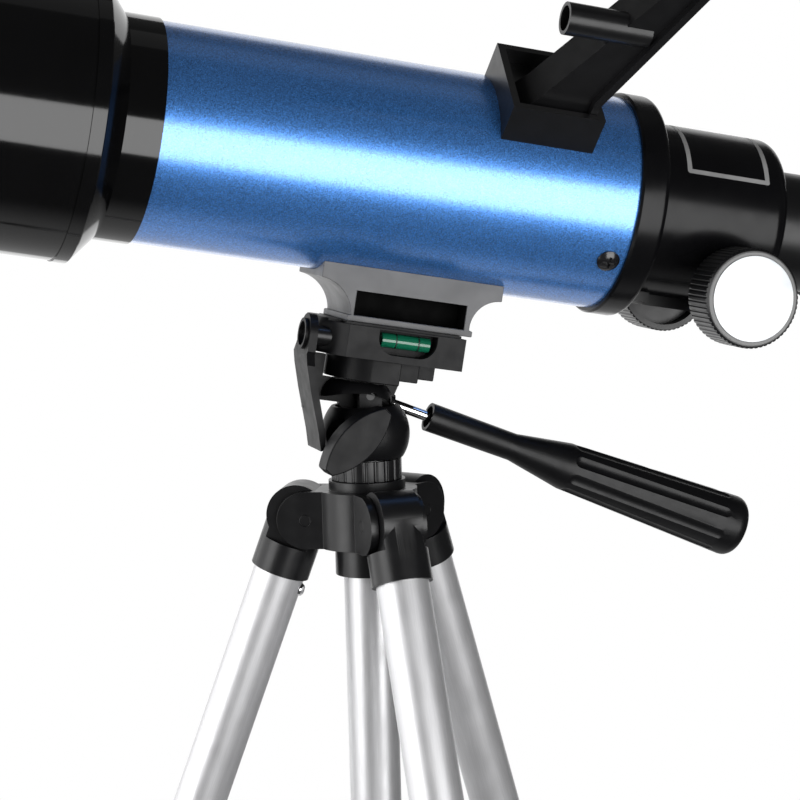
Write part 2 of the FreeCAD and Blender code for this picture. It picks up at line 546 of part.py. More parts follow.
def make_platform():
    """The camera platform with its level, screw carrier and quarter-inch screw."""
    half = size("platform_half")
    rear = size("platform_rear")
    top = size("platform_top")
    bottom = size("platform_bottom")
    bulge = size("platform_bulge")
    edges = [
        Part.makeLine(Vector(0, -half, bottom), Vector(rear, -half, bottom)),
        Part.makeLine(Vector(rear, -half, bottom), Vector(rear, half, bottom)),
        Part.makeLine(Vector(rear, half, bottom), Vector(0, half, bottom)),
        Part.Arc(Vector(0, half, bottom), Vector(-bulge, 0, bottom), Vector(0, -half, bottom)).toShape()]
    plate = Part.Face(Part.Wire(edges)).extrude(Vector(0, 0, top - 0.9 - bottom))
    land = Part.Face(Part.Wire(edges)).extrude(Vector(0, 0, 0.9))
    land.translate(Vector(0, 0, top - 0.9 - bottom))
    inset = block((-1, rear - 1.5), (1.5 - half, half - 1.5), (bottom, top))
    inset = inset.fuse(block((1.5 - bulge, 2), (-13, 13), (bottom, top)))
    plate = plate.fuse(land.common(inset))
    front = size("vial_front") - 1.5
    back = size("vial_rear") + 1.9
    window = slab([(front, top + 1), (front, top - 3.5), (front + 6, top - 9.6, front + 1.7, top - 7.8),
                   (back - 6, top - 9.6), (back, top - 3.5, back - 1.7, top - 7.8), (back, top + 1)],
                  -half - 1, -half + 6.2)
    window = window.cut(block((front - 1, back + 1), (-half - 2, half), (top - 1.4, top + 2)))
    plate = plate.cut(window)
    screw = Vector(21.5, 0, 0)
    plate = plate.cut(cylinder(size("camera_screw_radius") + 0.3, bottom - 1, top + 1, Z_AXIS, screw))
    flip_at = Vector(size("axis_shift"), size("flip_y"), size("flip_height") - size("axis_lift"))
    pin_radius = size("flip_pin_radius") + size("fit")
    pin_bore = cylinder(pin_radius, -30, 7, X_AXIS, Vector(0, flip_at.y, flip_at.z))
    plate = plate.cut(pin_bore)
    shaped("platform", plate, scope_frame)
    plain_rod("level_vial", "vial_radius", "vial_rear - vial_front",
              scope_frame * shift(size("vial_front"), 3.6 - half, size("vial_drop")) * along_tube)

    low = size("carrier_bottom")
    deep = 16.0
    edges = [
        Part.makeLine(Vector(11.6, -deep, low), Vector(21.5, -deep, low)),
        Part.makeLine(Vector(21.5, -deep, low), Vector(21.5, deep, low)),
        Part.makeLine(Vector(21.5, deep, low), Vector(11.6, deep, low)),
        Part.Arc(Vector(11.6, deep, low), Vector(-1.0, 0, low), Vector(11.6, -deep, low)).toShape()]
    carrier = Part.Face(Part.Wire(edges)).extrude(Vector(0, 0, bottom - low))
    step = block((21.5, 29.0), (-12.5, 12.5), (low + 1.5, bottom))
    tail = block((29.0, 35.5), (-9.5, 9.5), (low + 2.8, bottom))
    carrier = carrier.fuse([step, tail])
    carrier = carrier.cut(cylinder(9.3, low + 3.0, low + 6.8, Z_AXIS, screw))
    carrier = carrier.cut(cylinder(size("camera_screw_radius") + 0.3, low + 3, bottom + 1, Z_AXIS, screw))
    shaped("screw_carrier", carrier, scope_frame)
    camera_screw = cylinder(size("camera_screw_radius"), low + 6, -44.5, Z_AXIS, screw)
    camera_screw = camera_screw.fuse(cylinder(9.0, low + 3.3, low + 6.5, Z_AXIS, screw))
    shaped("camera_screw", camera_screw, scope_frame)


def make_tube_foot():
    """The waisted foot that hugs the tube and stands on the platform."""
    half = size("foot_half")
    front = size("foot_front")
    rear = size("foot_rear")
    base_front = size("base_front")
    base_rear = size("base_rear")
    base = size("platform_top")
    foot = slab([
        (front, -30), (front, -39.5), (base_front + 1.2, base + 2.2, front + 8.4, base + 9.6),
        (base_front, base + 2.0), (base_front, base), (base_rear, base), (base_rear, base + 2.0),
        (base_rear - 1.2, base + 2.2), (rear, -39.5, rear - 8.0, base + 9.6), (rear, -30)], -half, half)
    foot = foot.cut(cylinder(size("tube_radius"), -60, 100, X_AXIS))
    for side in (-1, 1):
        reach = sorted((side * size("foot_web"), side * (half + 1)))
        pocket = block((base_front + 2.2, base_rear - 3.2), reach, (base + 2.2, base + 10.6))
        foot = foot.cut(pocket.cut(cylinder(6.5, base, base + 12, Z_AXIS, Vector(21.5, 0, 0))))
    screw_hole = size("camera_screw_radius") + 0.1
    foot = foot.cut(cylinder(screw_hole, base - 1, base + 9.2, Z_AXIS, Vector(21.5, 0, 0)))
    shaped("tube_foot", foot, scope_frame)


# ---------------------------------------------------------------- optical tube

def make_tube():
    """The main tube, dew shield, lens cell and objective."""
    plain_tube("main_tube", "tube_radius", "tube_radius - tube_wall", "tube_rear - tube_front",
               tube_frame * shift(0, 0, size("tube_front")))
    shield = turned("dew_shield", [
        ("tube_radius", "shield_rear"), ("throat_radius", "shield_rear"),
        ("throat_radius", "shield_step"), ("shield_radius", "shield_flare"),
        ("shield_radius + 0.4", "shield_flare - 0.4"), ("shield_radius + 0.4", "shield_rim"),
        ("shield_radius - 0.2", "shield_rim"), ("shield_radius - 0.2", "shield_rim - 0.7"),
        ("shield_radius", "shield_rim - 0.7"), ("shield_radius", "shield_front"),
        ("shield_radius - shield_wall", "shield_front"),
        ("shield_radius - shield_wall", "cell_rear"), ("aperture_radius", "cell_rear"),
        ("aperture_radius", "tube_front"), ("tube_radius", "tube_front")], tube_frame)
    rounded(shield, [("shield_radius", "shield_front")], 0.9)
    turned("lens_cell", [
        ("aperture_radius", "cell_rear"), ("cell_radius + 2", "cell_rear"),
        ("cell_radius + 2", "cell_rear - 2"), ("cell_radius", "cell_rear - 2"),
        ("cell_radius", "cell_front + 1"), ("cell_radius - 1", "cell_front"),
        ("lens_radius", "cell_front"), ("lens_radius", "lens_rear"),
        ("aperture_radius", "lens_rear")], tube_frame)
    rim = size("lens_radius")
    rear = size("lens_rear")
    front = size("lens_front")
    bulge = size("lens_bulge")
    curve = (rim ** 2 + bulge ** 2) / (2 * bulge)
    lens = cylinder(rim, front, rear).common(Part.makeSphere(curve, Vector(0, 0, front + curve)))
    shaped("objective_lens", lens, tube_frame)


def make_focuser():
    """The rear casting, its three tube screws and the pinion block under it."""
    inner = size("housing_tube_radius") - size("housing_wall")
    outer = size("housing_tube_radius")
    ring = size("ring_radius")
    plug = size("tube_radius") - size("tube_wall")
    rear = size("focuser_rear")
    step = size("ring_rear")
    casting = spun([
        (plug - 2.2, size("plug_front")), (plug, size("plug_front")), (plug, size("tube_rear")),
        (size("tube_radius"), size("tube_rear")), (size("tube_radius"), size("ring_front")),
        (ring - 0.6, size("ring_front")), (ring, size("ring_front") + 0.8), (ring, step - 2.4),
        (ring - 2.4, step, ring - 0.7, step - 0.7), (outer, step), (outer, rear - 5.5),
        (outer - 5.5, rear, outer - 1.6, rear - 1.6),
        (size("drawtube_radius") + size("fit"), rear), (size("drawtube_radius") + size("fit"), rear - 5),
        (inner, rear - 7), (inner, step - 3), (plug - 2.2, step - 5)])
    casting = placed(casting, along_tube)
    drop = size("pinion_drop")
    at = size("shaft_at")
    axis = Vector(at, 0, drop)
    casting = casting.cut(block((at - 5.5, at + 5.5), (-4.6, 4.6), (drop - 6, drop + 9)))
    casting = casting.cut(cylinder(size("shaft_radius") + size("fit"), -25, 25, Y_AXIS, axis))
    casting = casting.cut(block((rear - 9, rear + 1), (-3.0, 3.0), (-22.7, -19)))
    screw_axis = Rotation(X_AXIS, size("tube_screw_angle")).multVec(Z_AXIS)
    holes = []
    screws = []
    for index in range(3):
        outward = Rotation(X_AXIS, 120 * index).multVec(screw_axis)
        foot = Vector(size("tube_screw_at"), 0, 0)
        skin = size("tube_radius")
        shank = cylinder(1.5, skin - 5.4, skin + 0.5, outward, foot)
        head = Part.makeSphere(6.0).common(block((-9, 9), (-9, 9), (4.2, 9)))
        head = head.common(cylinder(size("tube_screw_radius"), 4, 9))
        spot = Placement(foot + outward * (skin - 3.9), Rotation(Z_AXIS, outward))
        head = placed(head, spot)
        cross = block((-2.3, 2.3), (-0.4, 0.4), (5.1, 7)).fuse(block((-0.4, 0.4), (-2.3, 2.3), (5.1, 7)))
        head = head.cut(placed(cross, spot)).cut(cylinder(skin, 50, 120, X_AXIS))
        screws.append(head.fuse(shank))
        holes.append(cylinder(1.5, skin - 6, skin + 1, outward, foot))
    casting = casting.cut(holes)
    shaped("focuser_body", casting, scope_frame)
    shaped("tube_screws", Part.makeCompound(screws), scope_frame)
    drilled("main_tube", holes)


def make_pinion_block():
    """The cover that holds the pinion against the rack."""
    front = size("block_front")
    rear = size("block_rear")
    low = size("block_bottom")
    half = size("block_half")
    cover = block((front + 7, rear), (-half, half), (low, -20))
    nose = block((front, front + 8), (-half - 2, half + 2), (low + 1, -20))
    cover = cover.fuse(nose).cut(cylinder(size("housing_tube_radius"), 50, 200, X_AXIS))
    at = size("shaft_at")
    drop = size("pinion_drop")
    cover = cover.cut(block((at - 5.5, at + 5.5), (-4.6, 4.6), (drop - 5.6, drop + 9)))
    shaped("pinion_block", cover, scope_frame)


# ---------------------------------------------------------------- focus drive

def tooth_profile(root, tip, root_half, tip_half, low, high):
    """One trapezoid tooth that points along +x, between two heights."""
    corners = [Vector(root, -root_half, low), Vector(tip, -tip_half, low),
               Vector(tip, tip_half, low), Vector(root, root_half, low)]
    return Part.Face(Part.makePolygon(corners + corners[:1])).extrude(Vector(0, 0, high - low))


def make_focus_drive():
    """The pinion shaft, its two knobs and their face plates."""
    radius = size("pinion_radius")
    teeth = int(size("pinion_teeth"))
    reach = size("knob_outer") - 1.5
    shaft = cylinder(size("shaft_radius"), -reach, reach).fuse(cylinder(radius - 0.75, -4, 4))
    tooth = tooth_profile(radius - 1.2, radius + 0.5, 0.62, 0.2, -4, 4)
    shaft = shaft.fuse(around(tooth, teeth, 90))
    shaped("focus_shaft", shaft, shaft_frame)

    inner = size("knob_inner")
    outer = size("knob_outer")
    rim = size("knob_radius")
    knob = spun([
        (size("shaft_radius"), 25.0), (5.2, 25.0), (6.4, inner - 3), (6.4, inner + 5), (rim - 2.4, inner + 5),
        (rim - 2.4, inner), (rim - 0.5, inner), (rim, inner + 0.6), (rim, outer - 0.8), (rim - 0.8, outer),
        (size("plate_radius"), outer), (size("plate_radius"), outer - 1.0),
        (size("shaft_radius"), outer - 1.0)])
    notch = cylinder(0.5, inner - 1, outer + 1, Z_AXIS, Vector(rim + 0.15, 0, 0))
    knob = knob.cut(around(notch, 60))
    shaped("focus_knob_left", knob, shaft_frame)
    shaped("focus_knob_right", knob, shaft_frame * turn(X_AXIS, 180))
    plate = spun([(0, outer - 1.0), (size("plate_radius"), outer - 1.0), (size("plate_radius"), outer + 0.3),
                  (size("plate_radius") - 0.4, size("plate_face")), (0, size("plate_face"))])
    plates = Part.makeCompound([plate, placed(plate, turn(X_AXIS, 180))])
    shaped("knob_plates", plates, shaft_frame)


def make_drawtube():
    """The sliding drawtube, its rack and the eyepiece holder with its screw."""
    radius = size("drawtube_radius")
    front = size("drawtube_front")
    rear = size("drawtube_rear")
    inside = cylinder(radius - size("drawtube_wall"), front, rear, X_AXIS)
    tube = cylinder(radius, front, rear, X_AXIS).cut(inside)
    flat = radius - 0.9
    tube = tube.cut(block((size("rack_front"), size("rack_rear")), (-size("rack_half"), size("rack_half")),
                          (-radius - 1, -flat)))
    shaped("drawtube", tube, scope_frame)

    pitch = 2 * math.pi * size("pinion_radius") / size("pinion_teeth")
    line = size("pinion_drop") + size("pinion_radius")
    root = line + 0.75
    rack_along = (size("rack_front"), size("rack_rear"))
    rack = block(rack_along, (-size("rack_half"), size("rack_half")), (root, -flat))
    first = math.ceil((size("rack_front") + 1 - size("shaft_at")) / pitch - 0.5)
    last = math.floor((size("rack_rear") - 1 - size("shaft_at")) / pitch - 0.5)
    teeth = []
    for index in range(first, last + 1):
        centre = size("shaft_at") + (index + 0.5) * pitch
        teeth.append(slab([(centre - 0.62, root + 0.1), (centre - 0.25, line - 0.55),
                           (centre + 0.25, line - 0.55), (centre + 0.62, root + 0.1)],
                          -size("rack_half"), size("rack_half")))
    shaped("drawtube_rack", rack.fuse(teeth), scope_frame)

    turned("eyepiece_holder", [
        ("eyepiece_bore", "holder_rear - 18"), ("drawtube_radius - drawtube_wall", "holder_rear - 18"),
        ("drawtube_radius - drawtube_wall", "drawtube_rear"), ("drawtube_radius + 1.6", "drawtube_rear"),
        ("drawtube_radius + 1.6", "drawtube_rear + 5"), ("holder_radius", "drawtube_rear + 6"),
        ("holder_radius", "holder_rear"), ("eyepiece_bore", "holder_rear")], tube_frame)
    drilled("eyepiece_holder", [cylinder(1.5, 14, 25, Z_AXIS, Vector(size("holder_rear") - 7, 0, 0))])


def thumb_screw(label, placement, base):
    """A knurled thumb screw that points along z and bears on a wall at a base height."""
    screw = cylinder(1.5, base - 2.6, base + 4).fuse(cylinder(3.6, base + 1.2, base + 9.0))
    notch = cylinder(0.45, base + 1, base + 10, Z_AXIS, Vector(3.75, 0, 0))
    shaped(label, screw.cut(around(notch, 16)), placement)


# ---------------------------------------------------------------- diagonal and eyepiece

def make_eyepiece_end():
    """The star diagonal with its mirror, and the eyepiece in its socket."""
    thumb_screw("holder_screw", scope_frame * shift(size("holder_rear") - 7, 0, 0), size("holder_radius"))
    half = size("diagonal_half")
    front = size("diagonal_front") - size("diagonal_axis")
    top = size("socket_top")
    nose = size("eyepiece_fit")
    case = slab([(front, -half - 2), (front + 5, -half - 2), (half + 3.5, half - 6.5), (half + 3.5, half),
                 (front, half)], -half, half)
    case = case.fuse([cylinder(nose, front - 18, front, X_AXIS), cylinder(half, half, top)])
    case = case.cut(cylinder(13.5, front - 19, 2, X_AXIS))
    case = case.cut(cylinder(size("eyepiece_bore"), half - 2, top + 1))
    case = case.cut(cylinder(13.5, -3, half))
    chamber = slab([(front + 2, -half + 1), (front + 3.5, -half + 1), (half - 1.0, half - 3.5),
                    (half - 1.0, half - 2), (front + 2, half - 2)], -13.5, 13.5)
    case = case.cut(chamber)
    mirror_seat = placed(block((-19.5, 19.5), (-13.5, 13.5), (-2.2, 0)),
                         shift(0.9, 0, -0.9) * turn(Y_AXIS, -45))
    case = case.cut(mirror_seat)
    case = case.cut(cylinder(1.5, half - 4, half + 2, X_AXIS, Vector(0, 0, top - 8)))
    shaped("star_diagonal", case, diagonal_frame)
    shaped("diagonal_mirror", mirror_seat, diagonal_frame)
    thumb_screw("diagonal_screw", diagonal_frame * shift(0, 0, top - 8) * along_tube, half)

    turned("eyepiece_barrel", [
        ("eyepiece_fit - 1.2", "socket_top - 20"), ("eyepiece_fit", "socket_top - 20"),
        ("eyepiece_fit", "socket_top + 4"), ("eyepiece_fit - 1.2", "socket_top + 4")], diagonal_frame)
    turned("eyepiece_body", [
        ("eyepiece_fit - 1.2", "socket_top - 2"), ("eyepiece_fit - 1.2", "socket_top + 4"),
        ("eyepiece_fit", "socket_top + 4"), ("eyepiece_fit", "socket_top + 0.2"),
        ("eyepiece_fit + 2.2", "socket_top + 0.2"), ("eyepiece_fit + 2.2", "socket_top + 8"),
        ("eyepiece_fit + 1.4", "socket_top + 9"), ("eyepiece_fit + 1.4", "eyepiece_top - 6"),
        ("eyepiece_fit - 1", "eyepiece_top"), ("9", "eyepiece_top"), ("9", "eyepiece_top - 3"),
        ("11", "eyepiece_top - 6"), ("11", "socket_top - 2")], diagonal_frame)
    turned("eyepiece_lens", [
        ("0", "eyepiece_top - 7"), ("11", "eyepiece_top - 7"), ("11", "eyepiece_top - 6"),
        ("9", "eyepiece_top - 3"), ("0", "eyepiece_top - 2.2")], diagonal_frame)


# ---------------------------------------------------------------- finder

def make_finder_bracket():
    """A hollow saddle on the tube with a channelled arm, a side boss and a screw ring."""
    front = size("saddle_front")
    rear = size("saddle_rear")
    half = size("saddle_half")
    top = size("saddle_top")
    wall = 2.6
    saddle = block((front, rear), (-half, half), (25, top))
    hollow = block((front + wall, rear - wall), (wall - half, half - wall), (41.5, top + 1))
    saddle = saddle.cut(hollow).cut(cylinder(size("tube_radius"), 0, 120, X_AXIS))
    side = size("boss_side")
    web_low = -side - 4.2
    web_high = -side - 1.6
    height = size("finder_height")
    ring_at = size("finder_ring_at")
    web = slab([(42.5, 40.5), (69.0, 40.5), (69.0, 50.0), (ring_at, 104.0),
                (ring_at - 11.5, 104.0), (47.5, 47.0)],
               web_low, web_high)
    lead = slab([(42.5, 40.5), (45.2, 40.5), (50.3, 47.0), (ring_at - 8.5, 104.0), (ring_at - 11.5, 104.0),
                 (47.5, 47.0)], web_low, 3.0)
    trail = slab([(66.4, 40.5), (69.0, 40.5), (69.0, 50.0), (ring_at, 104.0), (ring_at - 2.8, 104.0),
                  (66.4, 51.0)], web_low - 2.6, web_high)
    ring_centre = Vector(0, 0, height)
    length = size("finder_ring_length")
    outer = size("finder_ring_radius")
    ring = cylinder(outer, ring_at, ring_at + length, X_AXIS, ring_centre)
    bridge = slab([(ring_at - 11.5, 100.0), (ring_at + 2.5, 100.0), (ring_at + 2.5, 106.0),
                   (ring_at - 8.5, 106.0)], web_low - 2.6, 3.0)
    boss_at = Vector(0, -side, size("boss_height"))
    boss = cylinder(size("boss_radius"), size("boss_front"), size("boss_rear"), X_AXIS, boss_at)
    bracket = saddle.fuse([web, lead, trail, ring, bridge, boss])
    bracket = bracket.cut(cylinder(outer - 2.6, ring_at - 20, ring_at + length, X_AXIS, ring_centre))
    bracket = bracket.cut(cylinder(4.2, size("boss_front"), size("boss_rear") - 2, X_AXIS, boss_at))
    middle = Vector(ring_at + length / 2, 0, height)
    screws = []
    for degrees in (60, 180, 300):
        outward = Rotation(X_AXIS, degrees).multVec(Z_AXIS)
        bracket = bracket.cut(cylinder(1.5, outer - 4, outer + 2, outward, middle))
        screw = cylinder(1.5, size("finder_radius"), outer + 4, outward, middle)
        screw = screw.fuse(cylinder(2.9, outer + 0.8, outer + 4.6, outward, middle))
        screw = screw.fuse(Part.makeSphere(2.9, middle + outward * (outer + 4.6)))
        screws.append(screw)
    shaped("finder_bracket", bracket, finder_frame)
    shaped("finder_screws", Part.makeCompound(screws), finder_frame)


def make_finder():
    """The finder: tube, objective and eyepiece."""
    frame = finder_frame * shift(0, 0, size("finder_height")) * along_tube
    turned("finder_tube", [
        ("finder_radius + 3", "finder_front"), ("finder_radius + 3", "finder_front + 30"),
        ("finder_radius", "finder_front + 38"), ("finder_radius", "finder_rear"),
        ("finder_radius - 1.4", "finder_rear"), ("finder_radius - 1.4", "finder_front + 36"),
        ("finder_radius + 1.5", "finder_front + 29"), ("finder_radius + 1.5", "finder_front")], frame)
    turned("finder_objective", [
        ("0", "finder_front + 7.2"), ("finder_radius + 1.5", "finder_front + 8"),
        ("finder_radius + 1.5", "finder_front + 11"), ("0", "finder_front + 11")], frame)
    turned("finder_eyepiece", [
        ("0", "finder_rear - 10"), ("finder_radius - 1.4", "finder_rear - 10"),
        ("finder_radius - 1.4", "finder_rear"), ("finder_radius + 0.8", "finder_rear"),
        ("finder_radius + 0.8", "finder_rear + 5"), ("finder_radius - 3", "finder_rear + 8"),
        ("5", "finder_rear + 8"), ("4", "finder_rear + 3"), ("0", "finder_rear + 3")], frame)


# ---------------------------------------------------------------- build, test and write

def build():
    """Make every sub-part."""
    make_hub()
    make_hinge_pins()
    for number in range(3):
        make_leg(number)
    make_column()
    make_pan_housing()
    make_pan_lock()
    make_tilt_body()
    make_handle()
    make_platform()
    make_tube_foot()
    make_tube()
    make_focuser()
    make_pinion_block()
    make_focus_drive()
    make_drawtube()
    make_eyepiece_end()
    make_finder_bracket()
    make_finder()
    doc.recompute()


def write():
    """Write each sub-part to its own file, after testing it."""
    os.makedirs("parts", exist_ok=True)
    for item in doc.Objects:
        if "Invalid" in item.State or "Error" in item.State:
            raise RuntimeError(f"{item.Label} did not build: {item.State}")
    for label, part in subparts.items():
        if part.Shape.isNull() or not part.Shape.isValid() or not part.Shape.Solids:
            raise RuntimeError(f"{label} has no valid solid")
        part.Label = label
        part.Shape.exportStep(f"parts/{label}.step")
    print(len(subparts), "sub-parts written")


build()
write()
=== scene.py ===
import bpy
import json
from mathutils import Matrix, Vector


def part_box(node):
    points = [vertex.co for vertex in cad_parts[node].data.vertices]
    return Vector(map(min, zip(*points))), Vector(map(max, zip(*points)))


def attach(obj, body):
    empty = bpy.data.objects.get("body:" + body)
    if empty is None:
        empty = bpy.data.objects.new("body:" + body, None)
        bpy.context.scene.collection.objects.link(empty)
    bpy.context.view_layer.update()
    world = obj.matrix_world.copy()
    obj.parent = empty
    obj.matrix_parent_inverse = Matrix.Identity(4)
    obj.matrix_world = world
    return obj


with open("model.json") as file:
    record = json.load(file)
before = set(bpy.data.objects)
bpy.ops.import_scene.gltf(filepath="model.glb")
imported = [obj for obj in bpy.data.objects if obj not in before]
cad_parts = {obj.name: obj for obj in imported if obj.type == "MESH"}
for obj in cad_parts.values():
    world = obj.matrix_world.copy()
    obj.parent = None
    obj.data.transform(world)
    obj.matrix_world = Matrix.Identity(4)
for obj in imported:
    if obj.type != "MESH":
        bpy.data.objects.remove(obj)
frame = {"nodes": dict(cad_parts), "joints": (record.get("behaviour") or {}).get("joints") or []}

"""Finishes, small fittings, light and camera for a blue refracting telescope on its tripod.

Every piece is in metres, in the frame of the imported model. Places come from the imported
nodes and joints, so a fitting stays on the part that carries it.
"""

import json
import logging
import math
from dataclasses import dataclass
from enum import Enum

import bmesh
import bpy
from mathutils import Matrix, Vector

LOG = logging.getLogger("telescope")
MM = 0.001
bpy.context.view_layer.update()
JOINTS = {joint["name"]: joint for joint in frame["joints"]}
LEG_NUMBERS = ("1", "2", "3")

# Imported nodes: points this close are joined, faces this flat become one, and edges
# sharper than this are rounded in this many steps.
WELD_DISTANCE = 1e-6
FLAT_ANGLE = math.radians(0.6)
ROUNDED_ANGLE = math.radians(32.0)
ROUNDING_STEPS = 2

# Fittings: edges sharper than this are shaded sharp. An outline has this many steps round
# a corner and along a side.
SHARP_ANGLE = math.radians(35.0)
CORNER_STEPS = 6
SIDE_STEPS = 30


# ---------------------------------------------------------------- places

@dataclass(frozen=True)
class Place:
    """A point with three square directions, for building a fitting where it belongs.

    Attributes:
        origin: Where local zero is, in metres.
        along: The local x direction.
        across: The local y direction.
        upward: The local z direction.
    """

    origin: Vector
    along: Vector
    across: Vector
    upward: Vector

    def matrix(self) -> Matrix:
        """The move from local to world coordinates."""
        turn = Matrix((self.along, self.across, self.upward)).transposed().to_4x4()
        return Matrix.Translation(self.origin) @ turn

    def shifted(self, x: float, y: float, z: float) -> "Place":
        """The same directions at a local point, given in millimetres."""
        local = Vector((x, y, z)) * MM
        return Place(self.matrix() @ local, self.along, self.across, self.upward)


def joint_point(name: str) -> Vector:
    """The point a hinge turns about."""
    return Vector(JOINTS[name]["pos_m"])


def joint_axis(name: str) -> Vector:
    """The direction a joint turns about or slides along."""
    return Vector(JOINTS[name]["axis"]).normalized()


def node_centre(node: str) -> Vector:
    """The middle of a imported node's box."""
    low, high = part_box(node)
    return (low + high) / 2


def scope_place() -> Place:
    """The telescope's own place: x runs rearwards on the optical axis, z is up, y is away.

    Returns:
        The place, with its origin in the middle of the main tube.
    """
    along = joint_axis("focus_travel")
    upward = joint_axis("eyepiece_pull")
    return Place(node_centre("main_tube"), along, upward.cross(along), upward)


# ---------------------------------------------------------------- finishes

class Graph:
    """A material's node tree, with short calls for the nodes that the finishes share."""

    def __init__(self, name: str) -> None:
        """Start a material.

        Args:
            name: The material's name.
        """
        self.material = bpy.data.materials.new(name)
        self.material.use_nodes = True
        self.tree = self.material.node_tree
        self.shader = self.tree.nodes["Principled BSDF"]
        self.coordinates = self.tree.nodes.new("ShaderNodeTexCoord").outputs["Object"]

    def link(self, source: bpy.types.NodeSocket, target: bpy.types.NodeSocket) -> None:
        """Join two sockets."""
        self.tree.links.new(source, target)

    def fixed(self, **values: float | tuple[float, ...]) -> None:
        """Set shader sockets that are the same all over.

        Args:
            **values: Socket names with underscores for spaces, and their values.
        """
        for name, number in values.items():
            self.shader.inputs[name.replace("_", " ")].default_value = number

    def stretched(self, direction: Vector, factor: float) -> bpy.types.NodeSocket:
        """Coordinates drawn out along a direction, for brushed or drawn metal.

        Args:
            direction: The direction of the drawing.
            factor: How much longer than wide the marks are.

        Returns:
            The vector socket to feed to a texture.
        """
        turn = direction.to_track_quat("Z", "Y").inverted().to_euler()
        rotate = self.tree.nodes.new("ShaderNodeMapping")
        rotate.inputs["Rotation"].default_value = turn
        squeeze = self.tree.nodes.new("ShaderNodeMapping")
        squeeze.inputs["Scale"].default_value = (1.0, 1.0, 1.0 / factor)
        self.link(self.coordinates, rotate.inputs["Vector"])
        self.link(rotate.outputs["Vector"], squeeze.inputs["Vector"])
        return squeeze.outputs["Vector"]

    def noise(self, size_mm: float, detail: float = 3.0,
              coordinates: bpy.types.NodeSocket | None = None) -> bpy.types.NodeSocket:
        """Soft noise.

        Args:
            size_mm: The size of its features.
            detail: How many finer layers it has.
            coordinates: Where it is read, if not at the plain coordinates.

        Returns:
            Its value socket, from 0 to 1.
        """
        node = self.tree.nodes.new("ShaderNodeTexNoise")
        node.inputs["Scale"].default_value = 1.0 / (size_mm * MM)
        node.inputs["Detail"].default_value = detail
        self.link(coordinates or self.coordinates, node.inputs["Vector"])
        return node.outputs["Fac"]

    def cells(self, size_mm: float) -> bpy.types.NodeSocket:
        """A random colour for each small cell, for flakes and sparkle.

        Args:
            size_mm: The size of a cell.

        Returns:
            The colour socket.
        """
        node = self.tree.nodes.new("ShaderNodeTexVoronoi")
        node.inputs["Scale"].default_value = 1.0 / (size_mm * MM)
        self.link(self.coordinates, node.inputs["Vector"])
        return node.outputs["Color"]

    def spread(self, value: bpy.types.NodeSocket, low: float, high: float,
               start: float = 0.3, stop: float = 0.7) -> bpy.types.NodeSocket:
        """Carry a value from one range to another.

        Args:
            value: The socket to read.
            low: The result at the start.
            high: The result at the stop.
            start: The value that gives low.
            stop: The value that gives high.

        Returns:
            The result socket.
        """
        node = self.tree.nodes.new("ShaderNodeMapRange")
        node.inputs["From Min"].default_value = start
        node.inputs["From Max"].default_value = stop
        node.inputs["To Min"].default_value = low
        node.inputs["To Max"].default_value = high
        self.link(value, node.inputs["Value"])
        return node.outputs["Result"]

    def tinted(self, value: bpy.types.NodeSocket, first: tuple[float, ...],
               second: tuple[float, ...]) -> bpy.types.NodeSocket:
        """A colour that runs from one to another as a value goes from 0 to 1.

        Args:
            value: The socket to read.
            first: The colour at 0.
            second: The colour at 1.

        Returns:
            The colour socket.
        """
        node = self.tree.nodes.new("ShaderNodeMix")
        node.data_type = "RGBA"
        node.inputs["A"].default_value = (*first, 1.0)
        node.inputs["B"].default_value = (*second, 1.0)
        self.link(value, node.inputs["Factor"])
        return node.outputs["Result"]

    def colour(self, socket: bpy.types.NodeSocket) -> None:
        """Use a socket as the base colour."""
        self.link(socket, self.shader.inputs["Base Color"])

    def roughness(self, socket: bpy.types.NodeSocket) -> None:
        """Use a socket as the roughness."""
        self.link(socket, self.shader.inputs["Roughness"])

    def relief(self, height: bpy.types.NodeSocket, depth_mm: float, strength: float) -> None:
        """Raise the surface by a texture.

        Args:
            height: The texture, from 0 to 1.
            depth_mm: How high a value of 1 stands.
            strength: How strongly it shows.
        """
        node = self.tree.nodes.new("ShaderNodeBump")
        node.inputs["Distance"].default_value = depth_mm * MM
        node.inputs["Strength"].default_value = strength
        self.link(height, node.inputs["Height"])
        self.link(node.outputs["Normal"], self.shader.inputs["Normal"])


def shade(colour: tuple[float, ...], factor: float) -> tuple[float, ...]:
    """A colour made lighter or darker."""
    return tuple(min(1.0, channel * factor) for channel in colour)


@dataclass(frozen=True)
class MouldedPlastic:
    """Black or grey moulded plastic with a fine spark-eroded grain.

    Attributes:
        name: The material's name.
        colour: The plastic's colour.
        roughness: How matt it is.
        grain_mm: The size of the grain.
        grain_depth: How deep the grain is, in millimetres.
        gloss: The weight of a clear skin over it.
        shine: How strongly the plastic itself reflects; 0.5 is usual.
    """

    name: str
    colour: tuple[float, float, float]
    roughness: float
    grain_mm: float = 0.35
    grain_depth: float = 0.02
    gloss: float = 0.0
    shine: float = 0.5

    def material(self) -> bpy.types.Material:
        """Make the node material.

        Returns:
            The material.
        """
        graph = Graph(self.name)
        graph.fixed(Coat_Weight=self.gloss, Coat_Roughness=0.05, IOR=1.5, Specular_IOR_Level=self.shine)
        patches = graph.noise(size_mm=14.0)
        graph.colour(graph.tinted(graph.spread(patches, 0.0, 1.0), shade(self.colour, 0.85),
                                  shade(self.colour, 1.15)))
        wear = graph.noise(size_mm=5.0, detail=5.0)
        graph.roughness(graph.spread(wear, self.roughness * 0.88, self.roughness * 1.12))
        graph.relief(graph.noise(self.grain_mm, detail=2.0), self.grain_depth, strength=0.5)
        return graph.material


